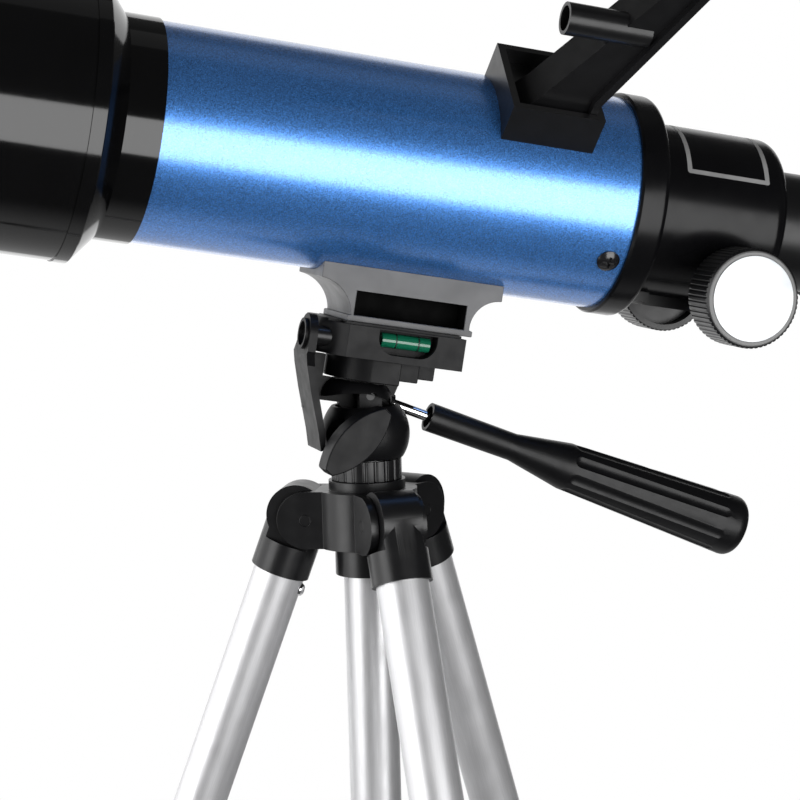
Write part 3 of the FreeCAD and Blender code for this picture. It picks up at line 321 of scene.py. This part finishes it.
@dataclass(frozen=True)
class FlakeLacquer:
    """Metallic lacquer: coloured flakes under a smooth clear coat.

    Attributes:
        name: The material's name.
        colour: The colour of the flakes.
        flake_mm: The size of a flake.
    """

    name: str
    colour: tuple[float, float, float]
    flake_mm: float = 0.28

    def material(self) -> bpy.types.Material:
        """Make the node material.

        Returns:
            The material.
        """
        graph = Graph(self.name)
        graph.fixed(Metallic=0.76, Coat_Weight=1.0, Coat_Roughness=0.21, Coat_IOR=1.7)
        flakes = graph.cells(self.flake_mm)
        split = graph.tree.nodes.new("ShaderNodeSeparateColor")
        graph.link(flakes, split.inputs["Color"])
        graph.colour(graph.tinted(split.outputs["Red"], shade(self.colour, 0.60),
                                  shade(self.colour, 1.55)))
        graph.roughness(graph.spread(split.outputs["Green"], 0.26, 0.42, 0.0, 1.0))
        graph.relief(split.outputs["Blue"], depth_mm=0.02, strength=0.35)
        return graph.material


@dataclass(frozen=True)
class DrawnMetal:
    """Drawn, blasted or plated metal.

    Attributes:
        name: The material's name.
        colour: The metal's colour.
        roughness: How satin it is.
        direction: The direction it was drawn in.
        streak_mm: The width of the drawing marks.
        depth: How deep they are, in millimetres.
        bare: How much bare metal shows; less for a thick anodised skin.
    """

    name: str
    colour: tuple[float, float, float]
    roughness: float
    direction: tuple[float, float, float] = (0.0, 0.0, 1.0)
    streak_mm: float = 0.25
    depth: float = 0.004
    bare: float = 1.0

    def material(self) -> bpy.types.Material:
        """Make the node material.

        Returns:
            The material.
        """
        graph = Graph(self.name)
        graph.fixed(Metallic=self.bare)
        drawn = graph.stretched(Vector(self.direction), factor=30.0)
        streaks = graph.noise(self.streak_mm, coordinates=drawn)
        graph.colour(graph.tinted(graph.spread(streaks, 0.0, 1.0), shade(self.colour, 0.94),
                                  shade(self.colour, 1.05)))
        cloud = graph.noise(size_mm=9.0, detail=4.0)
        graph.roughness(graph.spread(cloud, self.roughness * 0.9, self.roughness * 1.1))
        graph.relief(streaks, self.depth, strength=0.35)
        return graph.material


@dataclass(frozen=True)
class ClearGlass:
    """Glass or clear liquid, with a faint tint and a trace of dust.

    Attributes:
        name: The material's name.
        colour: Its tint.
        coating: The weight of the reflecting coat.
        clearness: How much light goes through it.
    """

    name: str
    colour: tuple[float, float, float]
    coating: float
    clearness: float = 1.0

    def material(self) -> bpy.types.Material:
        """Make the node material.

        Returns:
            The material.
        """
        graph = Graph(self.name)
        graph.fixed(Transmission_Weight=self.clearness, IOR=1.5, Coat_Weight=self.coating,
                    Coat_Roughness=0.02)
        cloud = graph.noise(size_mm=3.0, detail=4.0)
        graph.colour(graph.tinted(graph.spread(cloud, 0.0, 1.0), shade(self.colour, 0.92), self.colour))
        graph.roughness(graph.spread(cloud, 0.01, 0.05))
        return graph.material


class Finish(Enum):
    """The finishes of the telescope and its tripod."""

    SATIN_BLACK = MouldedPlastic("satin_black_plastic", (0.0055, 0.0055, 0.006),
                                 roughness=0.32, grain_mm=0.5, grain_depth=0.012, shine=0.34)
    HEAD_BLACK = MouldedPlastic("textured_head_plastic", (0.004, 0.004, 0.0045),
                                roughness=0.44, grain_mm=0.6, grain_depth=0.03, shine=0.15)
    FOOT_GREY = MouldedPlastic("grey_foot_plastic", (0.105, 0.105, 0.107),
                               roughness=0.42, grain_mm=0.8, grain_depth=0.02, shine=0.30)
    # Painted shade: near-black matt sheets set in the tube foot's side recesses, standing for the shade
    # inside them.
    PAINTED_SHADE_BLACK = MouldedPlastic("shaded_recess_black", (0.002, 0.002, 0.002),
                                roughness=0.80, grain_mm=0.8, grain_depth=0.01, shine=0.06)
    GLOSS_BLACK = MouldedPlastic("polished_black_plastic", (0.0018, 0.0018, 0.002),
                                 roughness=0.09, grain_mm=6.0, grain_depth=0.004, shine=0.42)
    HOUSING_BLACK = MouldedPlastic("satin_black_enamel", (0.003, 0.003, 0.0035),
                                   roughness=0.23, grain_mm=0.9, grain_depth=0.006, shine=0.17)
    GRIP_BLACK = MouldedPlastic("handle_plastic", (0.004, 0.004, 0.0045),
                                roughness=0.36, grain_mm=2.0, grain_depth=0.006, shine=0.22)
    BLUE_LACQUER = FlakeLacquer("blue_flake_lacquer", (0.060, 0.235, 0.66))
    BRIGHT_PLATE = DrawnMetal("bright_plated_steel", (0.86, 0.86, 0.87), roughness=0.09)
    TURNED_STEEL = DrawnMetal("turned_steel", (0.55, 0.55, 0.56), roughness=0.28)
    BLACK_SCREW = MouldedPlastic("black_screw_plating", (0.006, 0.006, 0.007),
                                 roughness=0.22, grain_mm=1.0, grain_depth=0.004, gloss=0.1)
    RUBBER = MouldedPlastic("foot_rubber", (0.010, 0.010, 0.010),
                            roughness=0.72, grain_mm=0.5, grain_depth=0.05, shine=0.3)
    OPTICAL_GLASS = ClearGlass("coated_glass", (0.86, 0.93, 0.90), coating=0.6)
    GREEN_SPIRIT = ClearGlass("green_spirit", (0.006, 0.125, 0.065), coating=0.35, clearness=0.12)
    LEVEL_LINE = MouldedPlastic("level_line_black", (0.004, 0.004, 0.004), roughness=0.5)
    FRONT_MIRROR = DrawnMetal("front_mirror", (0.92, 0.92, 0.93), roughness=0.03)
    PALE_DISC = MouldedPlastic("pale_disc", (0.84, 0.88, 0.93),
                               roughness=0.30, grain_mm=3.0, grain_depth=0.003, gloss=0.2)
    SILVER_RIM = MouldedPlastic("silver_rim", (0.17, 0.17, 0.17),
                                roughness=0.38, grain_mm=0.4, grain_depth=0.004, shine=0.3)
    SILVER_INK = MouldedPlastic("silver_ink", (0.26, 0.26, 0.26),
                                roughness=0.38, grain_mm=0.4, grain_depth=0.004)


class Paints:
    """Makes each finish's material once and gives it out."""

    def __init__(self) -> None:
        """Start with nothing made."""
        self.made: dict[str, bpy.types.Material] = {}

    def get(self, finish: Finish | DrawnMetal) -> bpy.types.Material:
        """The material of a finish.

        Args:
            finish: One of the named finishes, or a metal drawn in a leg's direction.

        Returns:
            Its material.
        """
        recipe = finish.value if isinstance(finish, Finish) else finish
        if recipe.name not in self.made:
            self.made[recipe.name] = recipe.material()
        return self.made[recipe.name]


PAINTS = Paints()


def dress(node: str, finish: Finish | DrawnMetal, edge_mm: float = 0.0) -> None:
    """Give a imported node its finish, and round its sharp edges a little.

    Args:
        node: The node's name.
        finish: Its finish.
        edge_mm: The width of the rounding, or 0 for none.
    """
    piece = frame["nodes"][node]
    piece.data.materials.clear()
    piece.data.materials.append(PAINTS.get(finish))
    if edge_mm:
        soften(piece, edge_mm)
    LOG.info("dressed %s", node)


def soften(piece: bpy.types.Object, edge_mm: float) -> None:
    """Round a piece's sharp edges with modifiers, leaving its mesh as it is.

    Args:
        piece: The object.
        edge_mm: The width of the rounding.
    """
    mesh = piece.data
    custom = mesh.attributes.get("custom_normal")
    if custom is not None:
        mesh.attributes.remove(custom)
    mesh.shade_smooth()
    weld = piece.modifiers.new("weld", "WELD")
    weld.merge_threshold = WELD_DISTANCE
    plane = piece.modifiers.new("planes", "DECIMATE")
    plane.decimate_type = "DISSOLVE"
    plane.angle_limit = FLAT_ANGLE
    bevel = piece.modifiers.new("edges", "BEVEL")
    bevel.limit_method = "ANGLE"
    bevel.angle_limit = ROUNDED_ANGLE
    bevel.width = edge_mm * MM
    bevel.segments = ROUNDING_STEPS
    bevel.use_clamp_overlap = True
    bevel.harden_normals = True


# ---------------------------------------------------------------- fittings

def fitting(name: str, mesh: bmesh.types.BMesh, place: Place, body: str, finish: Finish) -> None:
    """Turn a built mesh into a piece that rides on a body.

    Args:
        name: The piece's name.
        mesh: Its mesh, in millimetres in the place's own directions.
        place: Where it goes.
        body: The body it rides on.
        finish: Its finish.
    """
    bmesh.ops.scale(mesh, vec=(MM, MM, MM), verts=mesh.verts)
    bmesh.ops.transform(mesh, matrix=place.matrix(), verts=mesh.verts)
    bmesh.ops.recalc_face_normals(mesh, faces=mesh.faces)
    data = bpy.data.meshes.new(name)
    mesh.to_mesh(data)
    mesh.free()
    data.shade_smooth()
    data.set_sharp_from_angle(angle=SHARP_ANGLE)
    piece = bpy.data.objects.new(name, data)
    bpy.context.scene.collection.objects.link(piece)
    data.materials.append(PAINTS.get(finish))
    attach(piece, body)
    LOG.info("made %s on %s", name, body)


def lathe(profile: list[tuple[float, float]], steps: int) -> bmesh.types.BMesh:
    """A shape turned about local z.

    Args:
        profile: (radius, height) points in millimetres; a radius of 0 closes an end.
        steps: How many facets go round.

    Returns:
        The mesh.
    """
    mesh = bmesh.new()
    rings = []
    for radius, height in profile:
        if radius == 0:
            rings.append([mesh.verts.new((0.0, 0.0, height))])
            continue
        ring = []
        for step in range(steps):
            angle = 2 * math.pi * step / steps
            ring.append(mesh.verts.new((radius * math.cos(angle), radius * math.sin(angle), height)))
        rings.append(ring)
    for lower, upper in zip(rings, rings[1:] + rings[:1]):
        if len(lower) == 1 and len(upper) == 1:
            continue
        for step in range(steps):
            after = (step + 1) % steps
            corners = [lower[step % len(lower)], lower[after % len(lower)],
                       upper[after % len(upper)], upper[step % len(upper)]]
            unique = list(dict.fromkeys(corners))
            mesh.faces.new(unique)
    return mesh


def rounded_outline(left: float, right: float, low: float, high: float,
                    radius: float) -> list[tuple[float, float]]:
    """Points round a rectangle with round corners, close enough together to be bent.

    Args:
        left: The least x.
        right: The greatest x.
        low: The least y.
        high: The greatest y.
        radius: The radius of the corners.

    Returns:
        The points, in order.
    """
    centres = ((right - radius, high - radius), (left + radius, high - radius),
               (left + radius, low + radius), (right - radius, low + radius))
    corners = []
    for index, (x, y) in enumerate(centres):
        arc = []
        for step in range(CORNER_STEPS + 1):
            angle = math.pi / 2 * (index + step / CORNER_STEPS)
            arc.append((x + radius * math.cos(angle), y + radius * math.sin(angle)))
        corners.append(arc)
    points = []
    for arc, following in zip(corners, corners[1:] + corners[:1]):
        points.extend(arc)
        start, stop = Vector(arc[-1]), Vector(following[0])
        for step in range(1, SIDE_STEPS):
            point = start.lerp(stop, step / SIDE_STEPS)
            points.append((point.x, point.y))
    return points


# ---------------------------------------------------------------- sub-assemblies

@dataclass
class Tripod:
    """Hub, legs, centre column and feet.

    Attributes:
        screw_radius: The radius of the small screw in each leg cap, in millimetres.
        screw_dome: Shares of that radius, with the height of its domed head at each.
        screw_seat: How far it goes into the tube.
        screw_drop: How far down the leg from its hinge the screw is.
        leg_radius: The radius of the upper leg tube.
        leg_offset: How far the tube's axis is outside the hinge.
    """

    screw_radius: float = 2.4
    screw_dome: tuple[tuple[float, float], ...] = ((0, 1.55), (0.5, 1.42), (0.85, 0.9), (1, 0.25))
    screw_seat: float = 0.3
    screw_drop: float = 26.0
    leg_radius: float = 9.1
    leg_offset: float = 3.9

    def build(self) -> None:
        """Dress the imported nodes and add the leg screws."""
        dress("hub", Finish.SATIN_BLACK, 0.5)
        dress("hinge_pins", Finish.SATIN_BLACK, 0.2)
        dress("column_lock_ring", Finish.SATIN_BLACK, 0.25)
        dress("column_cap", Finish.SATIN_BLACK, 0.4)
        dress("head_spindle", Finish.TURNED_STEEL)
        dress("centre_column", self.tube_metal("column", joint_axis("column_lift")), 0.15)
        for number in LEG_NUMBERS:
            self.leg(number)

    def tube_metal(self, name: str, direction: Vector) -> DrawnMetal:
        """Satin aluminium drawn in a tube's own direction."""
        return DrawnMetal("satin_aluminium_" + name, (0.58, 0.58, 0.59), roughness=0.42,
                          direction=tuple(direction), streak_mm=0.3, bare=0.68)

    def leg(self, number: str) -> None:
        """Dress one leg and fit its screw.

        Args:
            number: Which leg it is.
        """
        down = joint_axis(f"leg_{number}_extend")
        metal = self.tube_metal("leg_" + number, down)
        dress("leg_cap_" + number, Finish.SATIN_BLACK, 0.45)
        dress("upper_leg_" + number, metal, 0.15)
        dress("lower_leg_" + number, metal, 0.15)
        dress("leg_lock_" + number, Finish.SATIN_BLACK, 0.3)
        dress("rubber_foot_" + number, Finish.RUBBER, 0.4)
        swing = joint_axis(f"leg_{number}_fold")
        outward = swing.cross(-down).normalized()
        if outward.dot(joint_point(f"leg_{number}_fold") - node_centre("centre_column")) < 0:
            outward = -outward
        hinge = Place(joint_point(f"leg_{number}_fold"), -down, swing, outward)
        inner = Place(hinge.shifted(-self.screw_drop, 0, self.leg_offset - self.leg_radius).origin,
                      -down, swing, -outward)
        radius = self.screw_radius
        dome = [(share * radius, height) for share, height in self.screw_dome]
        head = lathe(dome + [(radius, -self.screw_seat), (0, -self.screw_seat)], 32)
        fitting("leg_screw_" + number, head, inner, "leg_" + number, Finish.BRIGHT_PLATE)


@dataclass
class Head:
    """Pan housing, tilt casting, pan lock and handle."""

    def build(self) -> None:
        """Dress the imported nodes."""
        dress("pan_housing", Finish.HEAD_BLACK, 0.3)
        dress("tilt_axle", Finish.SATIN_BLACK)
        dress("pan_lock_screw", Finish.BRIGHT_PLATE, 0.15)
        dress("pan_lock_knob", Finish.HEAD_BLACK, 0.5)
        dress("tilt_body", Finish.HEAD_BLACK, 0.35)
        dress("flip_axle", Finish.SATIN_BLACK, 0.2)
        dress("handle_rod", Finish.BRIGHT_PLATE)
        dress("handle_grip", Finish.GRIP_BLACK, 0.4)


@dataclass
class Platform:
    """The platform, its level and its screw.

    Attributes:
        vial_radius: The radius of the level's vial, in millimetres.
        line_places: Where the two black rings are, along the vial from its middle.
        line_width: The width of a ring.
        recess_along: Where the foot's recesses start and end, from the tube's middle.
        recess_height: How high their floor and roof are.
        recess_depth: How far from the tube's middle plane they start and end.
    """

    vial_radius: float = 2.5
    line_places: tuple[float, float] = (-3.5, 4.5)
    line_width: float = 0.45
    recess_along: tuple[float, float] = (-2.5, 37.0)
    recess_height: tuple[float, float] = (-50.7, -42.5)
    recess_depth: tuple[float, float] = (6.6, 15.5)

    def build(self) -> None:
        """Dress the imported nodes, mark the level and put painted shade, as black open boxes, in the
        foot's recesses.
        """
        dress("platform", Finish.HEAD_BLACK, 0.35)
        dress("screw_carrier", Finish.HEAD_BLACK, 0.4)
        dress("camera_screw", Finish.BRIGHT_PLATE, 0.2)
        dress("tube_foot", Finish.FOOT_GREY, 0.35)
        dress("level_vial", Finish.GREEN_SPIRIT, 0.3)
        self.level_lines()
        # Painted shade: a black open box in each of the foot's side recesses.
        for name, side in (("recess_painted_shade_near", -1.0), ("recess_painted_shade_far", 1.0)):
            self.recess_painted_shade(name, side)

    def level_lines(self) -> None:
        """The two black rings printed round the vial."""
        scope = scope_place()
        middle = node_centre("level_vial")
        outer, inner, half = self.vial_radius + 0.05, self.vial_radius - 0.1, self.line_width / 2
        for index, place in enumerate(self.line_places, start=1):
            ring = lathe([(inner, -half), (outer, -half), (outer, half), (inner, half)], 40)
            axis = Place(middle, scope.across, scope.upward, scope.along).shifted(0, 0, place)
            fitting(f"level_line_{index}", ring, axis, "telescope", Finish.LEVEL_LINE)

    def recess_painted_shade(self, name: str, side: float) -> None:
        """Painted shade: a black box, open outwards, set in one of the foot's side recesses where only
        shade falls.

        Args:
            name: The lining's name.
            side: -1 for the near side and 1 for the far side.
        """
        mesh = bmesh.new()
        corners = {}
        for x in self.recess_along:
            for y in self.recess_depth:
                for z in self.recess_height:
                    corners[x, y, z] = mesh.verts.new((x, side * y, z))
        (x0, x1), (y0, y1), (z0, z1) = self.recess_along, self.recess_depth, self.recess_height
        walls = (
            ((x0, y0, z0), (x1, y0, z0), (x1, y0, z1), (x0, y0, z1)),
            ((x0, y0, z0), (x1, y0, z0), (x1, y1, z0), (x0, y1, z0)),
            ((x0, y0, z1), (x1, y0, z1), (x1, y1, z1), (x0, y1, z1)),
            ((x0, y0, z0), (x0, y1, z0), (x0, y1, z1), (x0, y0, z1)),
            ((x1, y0, z0), (x1, y1, z0), (x1, y1, z1), (x1, y0, z1)),
        )
        for wall in walls:
            mesh.faces.new([corners[point] for point in wall])
        fitting(name, mesh, scope_place(), "telescope", Finish.PAINTED_SHADE_BLACK)


@dataclass
class OpticalTube:
    """Main tube, dew shield, objective and focuser housing.

    Attributes:
        label_along: Where the printed outline starts and ends, from the tube's middle.
        label_turn: How far round from the top it starts and ends, in degrees.
        label_line: The width of its line, in millimetres.
        label_corner: The radius of its outer corners.
        label_inner_corner: The radius of its inner corners.
        label_lift: How far the print stands above the housing.
        housing_radius: The radius of the focuser housing.
    """

    label_along: tuple[float, float] = (105.6, 136.8)
    label_turn: tuple[float, float] = (1.0, 62.5)
    label_line: float = 1.7
    label_corner: float = 0.9
    label_inner_corner: float = 0.1
    label_lift: float = 0.05
    housing_radius: float = 30.8

    def build(self) -> None:
        """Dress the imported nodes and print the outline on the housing."""
        dress("main_tube", Finish.BLUE_LACQUER)
        dress("dew_shield", Finish.GLOSS_BLACK)
        dress("lens_cell", Finish.SATIN_BLACK, 0.3)
        dress("objective_lens", Finish.OPTICAL_GLASS)
        dress("focuser_body", Finish.HOUSING_BLACK, 0.3)
        dress("tube_screws", Finish.BLACK_SCREW, 0.15)
        dress("pinion_block", Finish.SATIN_BLACK, 0.3)
        self.label_outline()

    def label_outline(self) -> None:
        """A plain silver outline printed round the housing, with nothing inside it."""
        first, last = self.label_along
        start, stop = (math.radians(turn) * self.housing_radius for turn in self.label_turn)
        outer = rounded_outline(first, last, start, stop, self.label_corner)
        line = self.label_line
        inner = rounded_outline(first + line, last - line, start + line, stop - line,
                                self.label_inner_corner)
        mesh = bmesh.new()
        rows = []
        for loop in (outer, inner):
            row = []
            for along, round_way in loop:
                turn = round_way / self.housing_radius
                reach = self.housing_radius + self.label_lift
                row.append(mesh.verts.new((along, -reach * math.sin(turn), reach * math.cos(turn))))
            rows.append(row)
        count = len(rows[0])
        for step in range(count):
            after = (step + 1) % count
            mesh.faces.new((rows[0][step], rows[0][after], rows[1][after], rows[1][step]))
        fitting("label_outline", mesh, scope_place(), "telescope", Finish.SILVER_INK)


@dataclass
class Focuser:
    """Focus drive, drawtube and eyepiece end.

    Attributes:
        disc_radius: The radius of the pale disc on each knob, in millimetres.
        disc_reach: How far the knobs' plates are from the middle of the shaft.
        rim_radius: The radius of the silver rim round the disc.
        rim_reach: How far the knobs' own faces are from the middle of the shaft.
        rim_gap: The dark gap between the disc and the rim.
        disc_heights: The disc's height at its middle, near its edge and at its edge.
        disc_bevel: The width of the disc's sloping edge.
        rim_heights: The rim's height on top and at its outer edge.
        rim_bevel: The width of the rim's sloping edge.
        knob_steps: How many facets go round them.
    """

    disc_radius: float = 14.75
    disc_reach: float = 48.2
    rim_radius: float = 16.15
    rim_reach: float = 47.5
    rim_gap: float = 0.2
    disc_heights: tuple[float, float, float] = (0.22, 0.20, 0.05)
    disc_bevel: float = 0.5
    rim_heights: tuple[float, float] = (0.35, 0.1)
    rim_bevel: float = 0.25
    knob_steps: int = 96

    def build(self) -> None:
        """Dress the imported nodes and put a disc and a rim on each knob."""
        dress("focus_shaft", Finish.TURNED_STEEL)
        dress("focus_knob_left", Finish.SATIN_BLACK, 0.12)
        dress("focus_knob_right", Finish.SATIN_BLACK, 0.12)
        dress("knob_plates", Finish.SILVER_RIM, 0.1)
        dress("drawtube", Finish.SATIN_BLACK)
        dress("drawtube_rack", Finish.SATIN_BLACK)
        dress("eyepiece_holder", Finish.HOUSING_BLACK, 0.3)
        dress("holder_screw", Finish.BRIGHT_PLATE, 0.12)
        dress("star_diagonal", Finish.HOUSING_BLACK, 0.5)
        dress("diagonal_mirror", Finish.FRONT_MIRROR)
        dress("diagonal_screw", Finish.BRIGHT_PLATE, 0.12)
        dress("eyepiece_barrel", Finish.BRIGHT_PLATE, 0.2)
        dress("eyepiece_body", Finish.SATIN_BLACK, 0.4)
        dress("eyepiece_lens", Finish.OPTICAL_GLASS)
        for name, side in (("left", -1.0), ("right", 1.0)):
            self.knob_face(name, side)

    def knob_face(self, name: str, side: float) -> None:
        """The pale disc on a knob's plate and the silver rim round it.

        Args:
            name: Which knob it is.
            side: -1 for the near side and 1 for the far side.
        """
        radius, rim = self.disc_radius, self.rim_radius
        scope = scope_place()
        outward = scope.across * side
        axle = Place(joint_point("focus_turn"), scope.along, outward.cross(scope.along), outward)
        middle, shoulder, edge = self.disc_heights
        disc = lathe([(0, middle), (radius - self.disc_bevel, shoulder), (radius, edge), (radius, 0),
                      (0, 0)], self.knob_steps)
        fitting("knob_disc_" + name, disc, axle.shifted(0, 0, self.disc_reach), "focus_drive",
                Finish.PALE_DISC)
        inner = radius + self.rim_gap
        top, lip = self.rim_heights
        ring = lathe([(inner, 0), (inner, top), (rim - self.rim_bevel, top), (rim, lip), (rim, 0)],
                     self.knob_steps)
        fitting("knob_rim_" + name, ring, axle.shifted(0, 0, self.rim_reach), "focus_drive",
                Finish.SILVER_RIM)


@dataclass
class Finder:
    """Finder bracket, tube and screws."""

    def build(self) -> None:
        """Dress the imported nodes."""
        dress("finder_bracket", Finish.SATIN_BLACK, 0.35)
        dress("finder_tube", Finish.GLOSS_BLACK, 0.3)
        dress("finder_objective", Finish.OPTICAL_GLASS)
        dress("finder_eyepiece", Finish.SATIN_BLACK, 0.3)
        dress("finder_screws", Finish.BRIGHT_PLATE, 0.12)


# ---------------------------------------------------------------- studio

def heading(azimuth: float, elevation: float) -> Vector:
    """A direction from two angles.

    Args:
        azimuth: Its turn in degrees: 0 is -Y, and 90 is +X.
        elevation: Its height above the horizon, in degrees.

    Returns:
        The direction, one unit long.
    """
    turn = math.radians(azimuth)
    rise = math.radians(elevation)
    reach = math.cos(rise)
    return Vector((math.sin(turn) * reach, -math.cos(turn) * reach, math.sin(rise)))


@dataclass(frozen=True)
class Softbox:
    """A rectangular light that the camera doesn't see.

    Attributes:
        name: The light's name.
        azimuth: Its direction from the telescope: 0 is -Y, and 90 is +X.
        elevation: Its height above the telescope, in degrees.
        distance: How far it is from the telescope, in metres.
        size: Its width and height, in metres.
        radiance: Its brightness.
    """

    name: str
    azimuth: float
    elevation: float
    distance: float
    size: tuple[float, float]
    radiance: float

    def build(self, target: Vector) -> None:
        """Hang the light so that it faces the target.

        Args:
            target: The point that it faces.
        """
        away = heading(self.azimuth, self.elevation)
        light = bpy.data.lights.new(self.name, "AREA")
        light.shape = "RECTANGLE"
        light.size, light.size_y = self.size
        light.energy = self.radiance * math.pi * self.size[0] * self.size[1]
        lamp = bpy.data.objects.new(self.name, light)
        lamp.location = target + away * self.distance
        lamp.rotation_mode = "QUATERNION"
        lamp.rotation_quaternion = away.to_track_quat("Z", "Y")
        lamp.visible_camera = False
        bpy.context.scene.collection.objects.link(lamp)


@dataclass
class Studio:
    """Floor, world, lights and camera.

    Attributes:
        floor_radius: The radius of the pale floor, in metres.
        floor_fade: Where it starts and ends its fade, as shares of that radius.
        lens: The camera's focal length for a 36 mm sensor.
        azimuth: The camera's direction, in degrees.
        elevation: How far it looks down.
        roll: How far it is rolled.
        offset: Its place from the column at hinge height, in metres.
        below: The surround's brightness low down at the back, to all but the camera.
        above: The same everywhere else.
        glow_toward: The direction of the middle of the part that is low at the back.
        glow_fade: The cosines of the angles from it where that part starts and is full.
        softboxes: The lights.
    """

    floor_radius: float = 1.4
    floor_fade: tuple[float, float] = (0.35, 0.62)
    lens: float = 116.71
    azimuth: float = -16.123
    elevation: float = 6.664
    roll: float = -1.555
    offset: tuple[float, float, float] = (-0.23691, -0.86386, 0.14510)
    below: float = 0.60
    above: float = 0.07
    glow_toward: tuple[float, float, float] = (0.0, 0.6, -0.8)
    glow_fade: tuple[float, float] = (0.6, 0.95)
    softboxes: tuple[Softbox, ...] = (
        Softbox("front_softbox", azimuth=16.0, elevation=-8.0, distance=1.2, size=(1.10, 0.78),
                radiance=5.6),
        Softbox("left_softbox", azimuth=-74.0, elevation=4.0, distance=1.5, size=(0.8, 1.6), radiance=4.6),
        Softbox("left_wall", azimuth=-114.0, elevation=4.0, distance=1.5, size=(1.5, 1.6), radiance=1.8),
        Softbox("back_wall", azimuth=180.0, elevation=4.0, distance=2.0, size=(4.6, 2.4), radiance=1.0),
        Softbox("top_fill", azimuth=180.0, elevation=78.0, distance=1.8, size=(2.4, 0.8), radiance=0.12),
    )

    def build(self) -> None:
        """Set up everything round the telescope."""
        column = node_centre("centre_column")
        self.floor()
        self.world()
        target = node_centre("main_tube")
        for softbox in self.softboxes:
            softbox.build(target)
        self.camera(Vector((column.x, column.y, node_centre("hinge_pins").z)))

    def floor(self) -> None:
        """A pale floor that fades into the white surround at its rim."""
        mesh = bmesh.new()
        bmesh.ops.create_circle(mesh, cap_ends=True, segments=96, radius=self.floor_radius)
        data = bpy.data.meshes.new("floor")
        mesh.to_mesh(data)
        mesh.free()
        floor = bpy.data.objects.new("floor", data)
        floor.location.z = -0.0005
        bpy.context.scene.collection.objects.link(floor)
        graph = Graph("pale_floor")
        graph.fixed(Roughness=0.9)
        graph.colour(graph.tinted(graph.noise(size_mm=60.0), (0.86, 0.86, 0.86), (0.90, 0.90, 0.90)))
        length = graph.tree.nodes.new("ShaderNodeVectorMath")
        length.operation = "LENGTH"
        graph.link(graph.coordinates, length.inputs[0])
        start, stop = (share * self.floor_radius for share in self.floor_fade)
        fade = graph.spread(length.outputs["Value"], 1.0, 0.0, start, stop)
        graph.link(fade, graph.shader.inputs["Alpha"])
        data.materials.append(graph.material)
        floor.visible_glossy = False

    def world(self) -> None:
        """White to the camera; to everything else dim, and lighter low down at the back."""
        world = bpy.data.worlds.new("studio")
        world.use_nodes = True
        tree = world.node_tree
        output = tree.nodes["World Output"]
        dim = tree.nodes["Background"]
        dim.inputs["Color"].default_value = (1.0, 1.0, 1.0, 1.0)
        coordinates = tree.nodes.new("ShaderNodeTexCoord")
        facing = tree.nodes.new("ShaderNodeVectorMath")
        facing.operation = "DOT_PRODUCT"
        facing.inputs[1].default_value = self.glow_toward
        strength = tree.nodes.new("ShaderNodeMapRange")
        strength.interpolation_type = "SMOOTHSTEP"
        strength.inputs["From Min"].default_value = self.glow_fade[0]
        strength.inputs["From Max"].default_value = self.glow_fade[1]
        strength.inputs["To Min"].default_value = self.above
        strength.inputs["To Max"].default_value = self.below
        tree.links.new(coordinates.outputs["Generated"], facing.inputs[0])
        tree.links.new(facing.outputs["Value"], strength.inputs["Value"])
        tree.links.new(strength.outputs["Result"], dim.inputs["Strength"])
        white = tree.nodes.new("ShaderNodeBackground")
        white.inputs["Color"].default_value = (1.0, 1.0, 1.0, 1.0)
        white.inputs["Strength"].default_value = 1.0
        path = tree.nodes.new("ShaderNodeLightPath")
        mix = tree.nodes.new("ShaderNodeMixShader")
        tree.links.new(path.outputs["Is Camera Ray"], mix.inputs[0])
        tree.links.new(dim.outputs[0], mix.inputs[1])
        tree.links.new(white.outputs[0], mix.inputs[2])
        tree.links.new(mix.outputs[0], output.inputs["Surface"])
        bpy.context.scene.world = world
        bpy.context.scene.view_settings.view_transform = "Standard"

    def camera(self, base: Vector) -> None:
        """The camera, at the object's usual viewing angle.

        Args:
            base: The point on the column's axis that the camera is placed from.
        """
        turn = math.radians(self.azimuth)
        roll = math.radians(self.roll)
        back = heading(self.azimuth, self.elevation)
        level = Vector((math.cos(turn), math.sin(turn), 0.0))
        upright = back.cross(level)
        right = math.cos(roll) * level + math.sin(roll) * upright
        upward = -math.sin(roll) * level + math.cos(roll) * upright
        data = bpy.data.cameras.new("camera")
        data.lens = self.lens
        data.sensor_width = 36.0
        data.clip_start = 0.01
        camera = bpy.data.objects.new("camera", data)
        bpy.context.scene.collection.objects.link(camera)
        matrix = Matrix((right, upward, back)).transposed().to_4x4()
        camera.matrix_world = Matrix.Translation(base + Vector(self.offset)) @ matrix
        bpy.context.scene.camera = camera


def main() -> None:
    """Build the sub-assemblies in order, then the studio."""
    logging.basicConfig(level=logging.INFO, format="%(name)s: %(message)s")
    for assembly in (Tripod(), Head(), Platform(), OpticalTube(), Focuser(), Finder()):
        assembly.build()
        LOG.info("finished %s", type(assembly).__name__)
    Studio().build()


if __name__ == "__main__":
    main()
